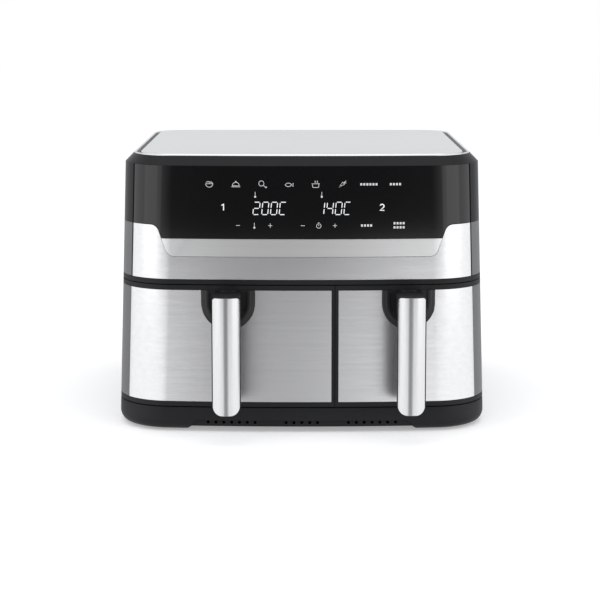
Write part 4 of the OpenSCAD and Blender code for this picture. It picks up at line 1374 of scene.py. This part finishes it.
@dataclass
class Handle:
    """A handle: a moulded grip with an arm to the drawer, and a steel cover on its front.

    It is drawn upright, then leant back with the drawer's face about the X axis.

    Args:
        outline: The body's outline.
        side: Which drawer.
        x: Its middle.
        reach: Distance from the face to its front.
        low: Height of its lower end.
        high: Height of its upper end.
        width: Width of the cover.
        sag: Depth of the cover's curve.
        thickness: Thickness of the cover.
        edge: Width of the black edge beside the cover.
        depth: Thickness of the grip.
        arm: Height of the arm.
        foot_r: Radius of the lower corners.
        head_r: Radius of the upper corners.
    """

    outline: BodyOutline
    side: Side
    x: float
    reach: float = 61.0
    low: float = 28.5
    high: float = 146.5
    width: float = 27.0
    sag: float = 6.5
    thickness: float = 1.2
    edge: float = 0.9
    depth: float = 19.0
    arm: float = 21.0
    foot_r: float = 9.0
    head_r: float = 3.0

    def placed(self, shell: Shell) -> Shell:
        """Leans a surface back and moves it to the drawer's face.

        Args:
            shell: The surface, upright, with the face at y = 0 and the middle at x = 0.

        Returns:
            The surface in place.
        """
        a = math.radians(self.outline.front_lean)
        x, y, z = shell.points.T
        face = self.outline.front_y + self.outline.bow_r - math.sqrt(
            self.outline.bow_r ** 2 - self.x ** 2)
        shell.points = np.stack([x + self.x, y * math.cos(a) + z * math.sin(a) + face,
                                 z * math.cos(a) - y * math.sin(a)], -1)
        return shell

    def grid(self, half: float, rise: float, columns: int = 29, rows: int = 25) -> tuple:
        """A grid over the handle's outline: columns across, rows from the foot to the head.

        At x the foot is at low + r - sqrt(r^2 - e^2), e being how far x is past the start
        of the corner; the head is the same with its own radius.

        Args:
            half: Half width.
            rise: Distance by which the foot and the head are drawn in.
            columns: Columns.
            rows: Rows.

        Returns:
            Grids of x and z.
        """
        x = half * np.sin(np.radians(np.linspace(-90, 90, columns)))
        ends = []
        for r in (self.foot_r, self.head_r):
            past = np.clip(np.abs(x) - (half - r), 0, r)
            ends.append(r - np.sqrt(r * r - past ** 2))
        v = np.linspace(0, 1, rows)[:, None]
        foot, head = self.low + rise + ends[0], self.high - rise - ends[1]
        return np.broadcast_to(x, (rows, columns)), foot + v * (head - foot)

    def bent(self, x: np.ndarray, back: float) -> np.ndarray:
        """Depth of the cover's cylinder at x, moved back along its radius."""
        r = (self.width ** 2 / 4 + self.sag ** 2) / (2 * self.sag)
        return -self.reach + r - np.sqrt(np.maximum((r - back) ** 2 - x ** 2, 0))

    def cover(self) -> Shell:
        """Returns the steel cover, a sheet bent round an upright cylinder."""
        x, z = self.grid(self.width / 2, 0.0)
        r = (self.width ** 2 / 4 + self.sag ** 2) / (2 * self.sag)
        inner = x * (r - self.thickness) / r
        front = np.stack([x, self.bent(x, 0.0), z], -1)
        back = np.stack([inner, self.bent(inner, self.thickness), z], -1)
        return slab(front, back)

    def grip(self) -> Shell:
        """The moulded grip: its back is an arch, -depth + 6 * (x / half)^4 at x.

        Returns:
            The closed grip.
        """
        half = self.width / 2 + self.edge
        x, z = self.grid(half, 0.02)
        flat = -self.reach + self.sag + 0.05
        edge = np.abs(x) > self.width / 2 - self.thickness
        front = np.where(edge, flat, np.minimum(self.bent(x, self.thickness + 0.05), flat))
        back = -self.reach + self.depth - 6 * (np.abs(x) / half) ** 4
        return slab(np.stack([x, front, z], -1), np.stack([x, back, z], -1))

    def arm_block(self) -> Shell:
        """The arm: its section carried across, with a fillet where the fingers pass.

        Returns:
            The closed arm.
        """
        back = -self.reach + self.depth
        under = self.high - self.arm
        section = np.concatenate([
            [[back - 8, self.high], [6, self.high], [6, under]],
            arc(back + 8, under - 8, 8, 90, 180, 11), [[back - 8, under - 8]]])
        return prism(section, Axis.X, -self.width / 2, self.width / 2)

    def build(self) -> None:
        """Makes the cover and the grip."""
        name = self.side.prefix
        add_piece(f"{name}_cover_sheet", [self.placed(self.cover())], Palette.COVER_STEEL,
                  f"{name}_drawer", (f"{name}_handle_cover",), bevel=0.3, sharp=45)
        add_piece(f"{name}_grip_moulding",
                  [self.placed(self.grip()), self.placed(self.arm_block())],
                  Palette.HANDLE_BLACK, f"{name}_drawer", (f"{name}_handle_core",), bevel=0.9, sharp=45)


# ---------------------------------------------------------------- the panel's print
class Icon(Enum):
    """The symbols and numerals on the panel."""

    BOWL = "bowl"
    DISH = "dish"
    LEG = "leg"
    FISH = "fish"
    POT = "pot"
    CARROT = "carrot"
    TIMER = "timer"
    PROBE = "probe"
    PLUS = "plus"
    MINUS = "minus"
    ONE = "one"
    TWO = "two"


# Each symbol is (points, closed) for every line of its drawing, within about 4.8 mm.
STROKES = {
    Icon.BOWL: ((arc(0, 0.6, 4.0, 180, 360), True), (arc(-1.4, 0.9, 2.1, 15, 165), False),
            (arc(1.9, 0.9, 1.6, 15, 150), False)),
    Icon.DISH: ((arc(0, -1.6, 3.9, 0, 180), True), (np.array([[-4.8, -2.8], [4.8, -2.8]]), False),
            (arc(0, 3.0, 0.5, 0, 330, 9), True)),
    Icon.LEG: ((arc(-1.2, 1.1, 2.9, 0, 345), True), (np.array([[1.0, -0.9], [3.6, -3.4]]), False),
           (arc(4.0, -3.2, 0.7, 0, 330, 9), True)),
    Icon.FISH: ((arc(-0.8, -3.1, 4.6, 35, 145), False), (arc(-0.8, 2.2, 4.6, 215, 325), False),
            (np.array([[2.9, -0.4], [4.8, 1.5], [4.8, -2.4]]), True)),
    Icon.POT: ((np.array([[-3.5, 0.8], [-3.5, -2.5], [-2.8, -3.4], [2.8, -3.4], [3.5, -2.5],
                          [3.5, 0.8]]), True),
           (np.array([[-4.6, 0.8], [4.6, 0.8]]), False), (arc(-1.3, 3.0, 1.0, -80, 80, 9), False),
           (arc(1.2, 3.0, 1.0, -80, 80, 9), False)),
    Icon.CARROT: ((np.array([[-4.2, -3.6], [0.4, 2.6], [2.6, 0.3]]), True),
              (np.array([[1.6, 1.6], [4.3, 4.2]]), False), (np.array([[1.6, 1.6], [4.6, 1.8]]), False),
              (np.array([[-2.0, -0.8], [-0.8, -1.7]]), False)),
    Icon.TIMER: ((arc(0, -0.3, 2.3, 90, 435, 25), False), (np.array([[0, -0.3], [0, 1.0]]), False),
             (np.array([[-0.8, 2.9], [0.8, 2.9]]), False)),
    Icon.PROBE: ((np.array([[0, -0.6], [0, 3.2]]), False), (arc(0, -1.7, 0.8, 0, 345, 15), True),
             (arc(0, -1.7, 0.3, 0, 345, 9), True)),
    Icon.PLUS: ((np.array([[-2.0, 0], [2.0, 0]]), False), (np.array([[0, -2.0], [0, 2.0]]), False)),
    Icon.MINUS: ((np.array([[-2.0, 0], [2.0, 0]]), False),),
    Icon.ONE: ((np.array([[-1.5, 1.9], [0.6, 3.1], [0.6, -3.1]]), False),),
    Icon.TWO: ((np.concatenate([arc(0, 1.3, 1.9, 165, -35, 13), [[-2.0, -3.0], [2.2, -3.0]]]), False),),
}


@dataclass
class Print:
    """The lit symbols and digits on the control panel.

    Each stroke is a ribbon: its two edges lie half a width to each side of a line, and
    both lie just proud of the panel's face.

    Args:
        outline: The body's outline.
        proud: Height of the ribbons over the panel.
        line: Width of the symbols' strokes.
        icons: (icon, x, z, size) of each symbol.
        words: (x, z, blocks, rows) of each mark that stands in for a word.
        displays: (characters, left edge, foot) of each row of digits.
    """

    outline: BodyOutline
    proud: float = 0.05
    line: float = 0.5
    icons: tuple = (
        (Icon.BOWL, -94.0, 255.8, 0.9), (Icon.DISH, -67.0, 255.8, 0.9), (Icon.LEG, -40.0, 255.8, 0.9),
        (Icon.FISH, -13.0, 255.8, 0.9), (Icon.POT, 14.0, 255.8, 0.9), (Icon.CARROT, 41.0, 255.8, 0.9),
        (Icon.PROBE, -47.4, 245.0, 1.0), (Icon.PROBE, 20.2, 245.0, 1.0),
        (Icon.MINUS, -65.0, 214.0, 1.0), (Icon.PROBE, -48.3, 213.6, 1.0), (Icon.PLUS, -32.1, 214.0, 1.0),
        (Icon.MINUS, 1.0, 214.0, 1.0), (Icon.TIMER, 17.2, 214.0, 1.0), (Icon.PLUS, 33.7, 214.0, 1.0))
    numerals: tuple = ((Icon.ONE, -80.2, 232.4, 1.0), (Icon.TWO, 81.6, 232.3, 1.0))
    words: tuple = ((68.0, 255.8, 6, 1), (95.0, 255.8, 4, 1), (65.8, 214.0, 4, 1), (99.0, 214.0, 4, 2))
    displays: tuple = (("200C", -49.8, 225.2), ("140C", 15.9, 225.2))

    def ribbon(self, points: np.ndarray, closed: bool, width: float) -> Shell:
        """A flat stroke along a line of points, mitred at its bends.

        Args:
            points: (n, 2) x and z.
            closed: The line comes back to its start.
            width: Its width.

        Returns:
            The closed stroke, on the panel.
        """
        if closed:
            points = np.concatenate([points, points[:1]])
        step = np.diff(points, axis=0)
        step /= np.linalg.norm(step, axis=1, keepdims=True)
        before = np.concatenate([step[-1:] if closed else step[:1], step])
        after = np.concatenate([step, step[:1] if closed else step[-1:]])
        normal = np.stack([-(before + after)[:, 1], (before + after)[:, 0]], -1)
        normal /= np.maximum((normal ** 2).sum(1, keepdims=True), 1.2) / 2
        edges = np.stack([points - normal * width / 2, points + normal * width / 2])
        x, z = edges[..., 0], edges[..., 1]
        return slab(self.outline.on_front(x, z, -self.proud), self.outline.on_front(x, z, 0.1))

    def digit(self, character: str, x: float, z: float) -> list[Shell]:
        """One seven-segment character, 7 mm wide and 12.6 mm high, slanted to the right.

        Args:
            character: A digit or C.
            x: Its left edge.
            z: Its foot.

        Returns:
            Its lit segments.
        """
        w, h = 6.2, 12.6
        ends = np.array([[[0, h], [w, h]], [[w, h], [w, h / 2]], [[w, h / 2], [w, 0]], [[0, 0], [w, 0]],
                         [[0, h / 2], [0, 0]], [[0, h], [0, h / 2]], [[0, h / 2], [w, h / 2]]])
        lit = {"0": "abcdef", "1": "bc", "2": "abged", "4": "fgbc", "C": "afed"}[character]
        middle = ends.mean(1, keepdims=True)
        length = np.linalg.norm(ends[:, 1] - ends[:, 0], axis=1)
        ends = middle + (ends - middle) * (1 - 1.5 / length)[:, None, None]
        ends[..., 0] += ends[..., 1] * 0.1
        return [self.ribbon(ends["abcdefg".index(s)] + [x, z], False, 0.85) for s in lit]

    def symbols(self, icons: tuple, line: float) -> list[Shell]:
        """Returns the strokes of some symbols."""
        return [self.ribbon(points * size + [x, z], closed, line)
                for icon, x, z, size in icons for points, closed in STROKES[icon]]

    def build(self) -> None:
        """Makes the symbols, the marks and the digits."""
        marks = []
        for x, z, blocks, rows in self.words:
            at = x + (np.arange(blocks) - (blocks - 1) / 2) * 3.1
            for row in range(rows):
                level = z + (row - (rows - 1) / 2) * 4.2
                marks += [self.ribbon(np.array([[a - 1.0, level], [a + 1.0, level]]), False, 2.3)
                          for a in at]
        add_piece("panel_symbols", self.symbols(self.icons, self.line) + marks, Palette.PRINT, "housing")
        digits = [s for text, x, z in self.displays for i, c in enumerate(text)
                  for s in self.digit(c, x + i * 8.9, z)]
        add_piece("panel_digits", digits + self.symbols(self.numerals, 1.1), Palette.DIGITS, "housing")


# ---------------------------------------------------------------- the parts inside
@dataclass
class Inside:
    """The CAD nodes that are shown as they are, with the finish each one takes.

    Args:
        finishes: The end of a node's name and its finish; the first that fits is used.
    """

    finishes: tuple = (
        ("rubber_feet", Palette.RUBBER), ("motor_mounts", Palette.RUBBER), ("cord_bush", Palette.RUBBER),
        ("rear_cover", Palette.MATTE_BLACK), ("tray_pads", Palette.SILICONE),
        ("_tray", Palette.NON_STICK), ("_liner", Palette.SHEET_METAL), ("heat_shield", Palette.SHEET_METAL),
        ("exhaust_ducts", Palette.SHEET_METAL), ("_coil", Palette.HEATER), ("_guard", Palette.WIRE_STEEL),
        ("_impeller", Palette.SHEET_METAL), ("_cooling_fan", Palette.FAN_PLASTIC),
        ("_shaft", Palette.WIRE_STEEL), ("screws", Palette.WIRE_STEEL), ("_motor", Palette.MOTOR_STEEL),
        ("_magnet", Palette.MOTOR_STEEL), ("probes", Palette.BRASS), ("cutouts", Palette.CERAMIC),
        ("switches", Palette.CERAMIC), ("_board", Palette.BOARD),
        ("_cover", Palette.COVER_STEEL), ("_skin", Palette.STEEL), ("_pan", Palette.NON_STICK),
        ("", Palette.MATTE_BLACK))

    def dress(self, nodes: dict) -> None:
        """Gives every CAD node its finish, shown or not.

        Args:
            nodes: The CAD nodes by name.
        """
        for name, node in nodes.items():
            finish = next(f for end, f in self.finishes if name.endswith(end))
            node.data.materials.clear()
            node.data.materials.append(finish.material())
        log.info("dressed %d CAD nodes", len(nodes))


# ---------------------------------------------------------------- the studio
@dataclass
class Softbox:
    """A rectangular light that is not seen itself.

    Args:
        name: Its name.
        place: Where it stands, in metres.
        aim: The point it faces, in metres.
        size: Width and height in metres.
        power: Power in watts.
    """

    name: str
    place: tuple
    aim: tuple
    size: tuple
    power: float

    def build(self) -> None:
        """Makes the light."""
        data = bpy.data.lights.new(self.name, "AREA")
        data.shape, data.size, data.size_y, data.energy = "RECTANGLE", *self.size, self.power
        light = bpy.data.objects.new(self.name, data)
        light.location = self.place
        way = np.subtract(self.aim, self.place)
        light.rotation_euler = (math.atan2(math.hypot(way[0], way[1]), -way[2]), 0,
                                math.atan2(-way[0], way[1]))
        light.visible_camera = False
        bpy.context.scene.collection.objects.link(light)


@dataclass
class Studio:
    """White surroundings, a pale floor, soft lights and dark flags that only metal sees.

    Args:
        sky: Brightness of the surroundings as a light.
        floor_color: Colour of the floor.
        floor_glow: Light that the floor adds of its own, so that it stays white to the horizon.
        softboxes: The lights.
        flags: (lowest corner, highest corner, finish) of each flag, in metres.
        eye: Place of the camera in metres.
        pitch: Angle in degrees by which it looks down.
        lens: Focal length in millimetres on a 36 mm sensor.
    """

    sky: float = 0.85
    floor_color: tuple = (0.8, 0.8, 0.8)
    floor_glow: float = 0.42
    softboxes: tuple = (
        Softbox("over", (0.0, -0.3, 1.9), (0.0, 0.0, 0.0), (2.4, 1.8), 12.0),
        Softbox("left", (-1.9, -1.3, 0.7), (0.0, 0.0, 0.15), (1.6, 1.4), 3.5),
        Softbox("right", (1.9, -1.3, 0.7), (0.0, 0.0, 0.15), (1.6, 1.4), 4.5))
    flags: tuple = (
        ((-3.6, -3.5, -1.6), (3.6, -3.48, 0.07),
         Fade("low_flag", (0.5,) * 3, middle=-0.25, start=0.35, stop=1.25, bright=1.55)),
        ((-3.6, -3.5, 0.07), (3.6, -3.48, 2.4),
         Fade("high_flag", (0.09,) * 3, start=0.5, stop=3.6, bright=1.0)),
        ((-3.64, -3.5, -1.6), (-3.6, 1.2, 2.4), Fade("left_card", (1.5,) * 3, bright=1.5)),
        ((3.6, -3.5, -1.6), (3.64, 1.2, 2.4), Fade("right_card", (1.5,) * 3, bright=1.5)))
    eye: tuple = (-0.00189, -1.9, 0.4428)
    pitch: float = 9.906
    lens: float = 104.04

    def world(self) -> None:
        """Makes the surroundings: white to the eye, and a soft light to everything else."""
        scene = bpy.context.scene
        scene.world = bpy.data.worlds.new("studio")
        scene.world.use_nodes = True
        scene.world.node_tree.nodes.clear()
        graph = Graph(scene.world.node_tree)
        seen = graph.node("ShaderNodeBackground", Color=(1, 1, 1, 1), Strength=1.0)
        light = graph.node("ShaderNodeBackground", Color=(0.97, 0.985, 1, 1), Strength=self.sky)
        path = graph.node("ShaderNodeLightPath", out="Is Camera Ray")
        mix = graph.tree.nodes.new("ShaderNodeMixShader")
        for socket, value in zip(mix.inputs, (path, light, seen)):
            graph.tree.links.new(value, socket)
        graph.node("ShaderNodeOutputWorld", Surface=mix.outputs[0])

    def plain(self, shell: Shell, finish: Finish) -> bpy.types.Object:
        """Makes a stage piece.

        Args:
            shell: Its surface in millimetres.
            finish: Its finish, which names it.

        Returns:
            The piece.
        """
        made = mesh_object(finish.name, [shell])
        made.data.materials.append(finish.material())
        return made

    def build(self) -> None:
        """Makes the floor, the lights, the flags and the camera."""
        self.world()
        floor = self.plain(block((-9000, -9000, -20), (9000, 9000, 0)),
                           Lit("floor", self.floor_color, 0.9, depth=0.0, mottle=0.004,
                               specular=0.0, glow=self.floor_glow))
        floor.visible_glossy = False
        for low, high, finish in self.flags:
            flag = self.plain(block(tuple(np.divide(low, MM)), tuple(np.divide(high, MM))), finish)
            flag.visible_camera = flag.visible_diffuse = flag.visible_shadow = False
        for box in self.softboxes:
            box.build()
        data = bpy.data.cameras.new("camera")
        data.lens, data.sensor_width, data.clip_end = self.lens, 36.0, 60.0
        camera = bpy.data.objects.new("camera", data)
        camera.location = self.eye
        camera.rotation_euler = (math.radians(90 - self.pitch), 0, 0)
        bpy.context.scene.collection.objects.link(camera)
        bpy.context.scene.camera = camera
        bpy.context.scene.view_settings.view_transform = "Standard"
        log.info("studio: %d lights, %d flags", len(self.softboxes), len(self.flags))


@dataclass
class AirFryer:
    """The whole appliance, from its plinth to the print on its panel.

    Args:
        nodes: The CAD nodes by name.
        depth: Distance from the body's front to its back at the base.
    """

    nodes: dict
    depth: float = 372.0
    outline: BodyOutline = field(init=False)

    def __post_init__(self) -> None:
        """Places the outline by the plinth's back."""
        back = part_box("base_pan")[1].y / MM
        self.outline = BodyOutline(front_y=back - self.depth, back_y=back)

    def build(self) -> None:
        """Builds every sub-assembly in order."""
        o = self.outline
        liner_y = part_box("left_liner")[0].y / MM
        Inside().dress(self.nodes)
        for part in (Base(o), Walls(o), Top(o), Front(o, Bib(), liner_y - 2.5, liner_y),
                     Drawer(o, Side.LEFT), Drawer(o, Side.RIGHT), Print(o)):
            part.build()


def main() -> None:
    """Loads the frame, and builds the appliance and the studio."""
    logging.basicConfig(level=logging.INFO, format="%(message)s")
    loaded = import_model()
    AirFryer(loaded["nodes"]).build()
    Studio().build()


if __name__ == "__main__":
    main()
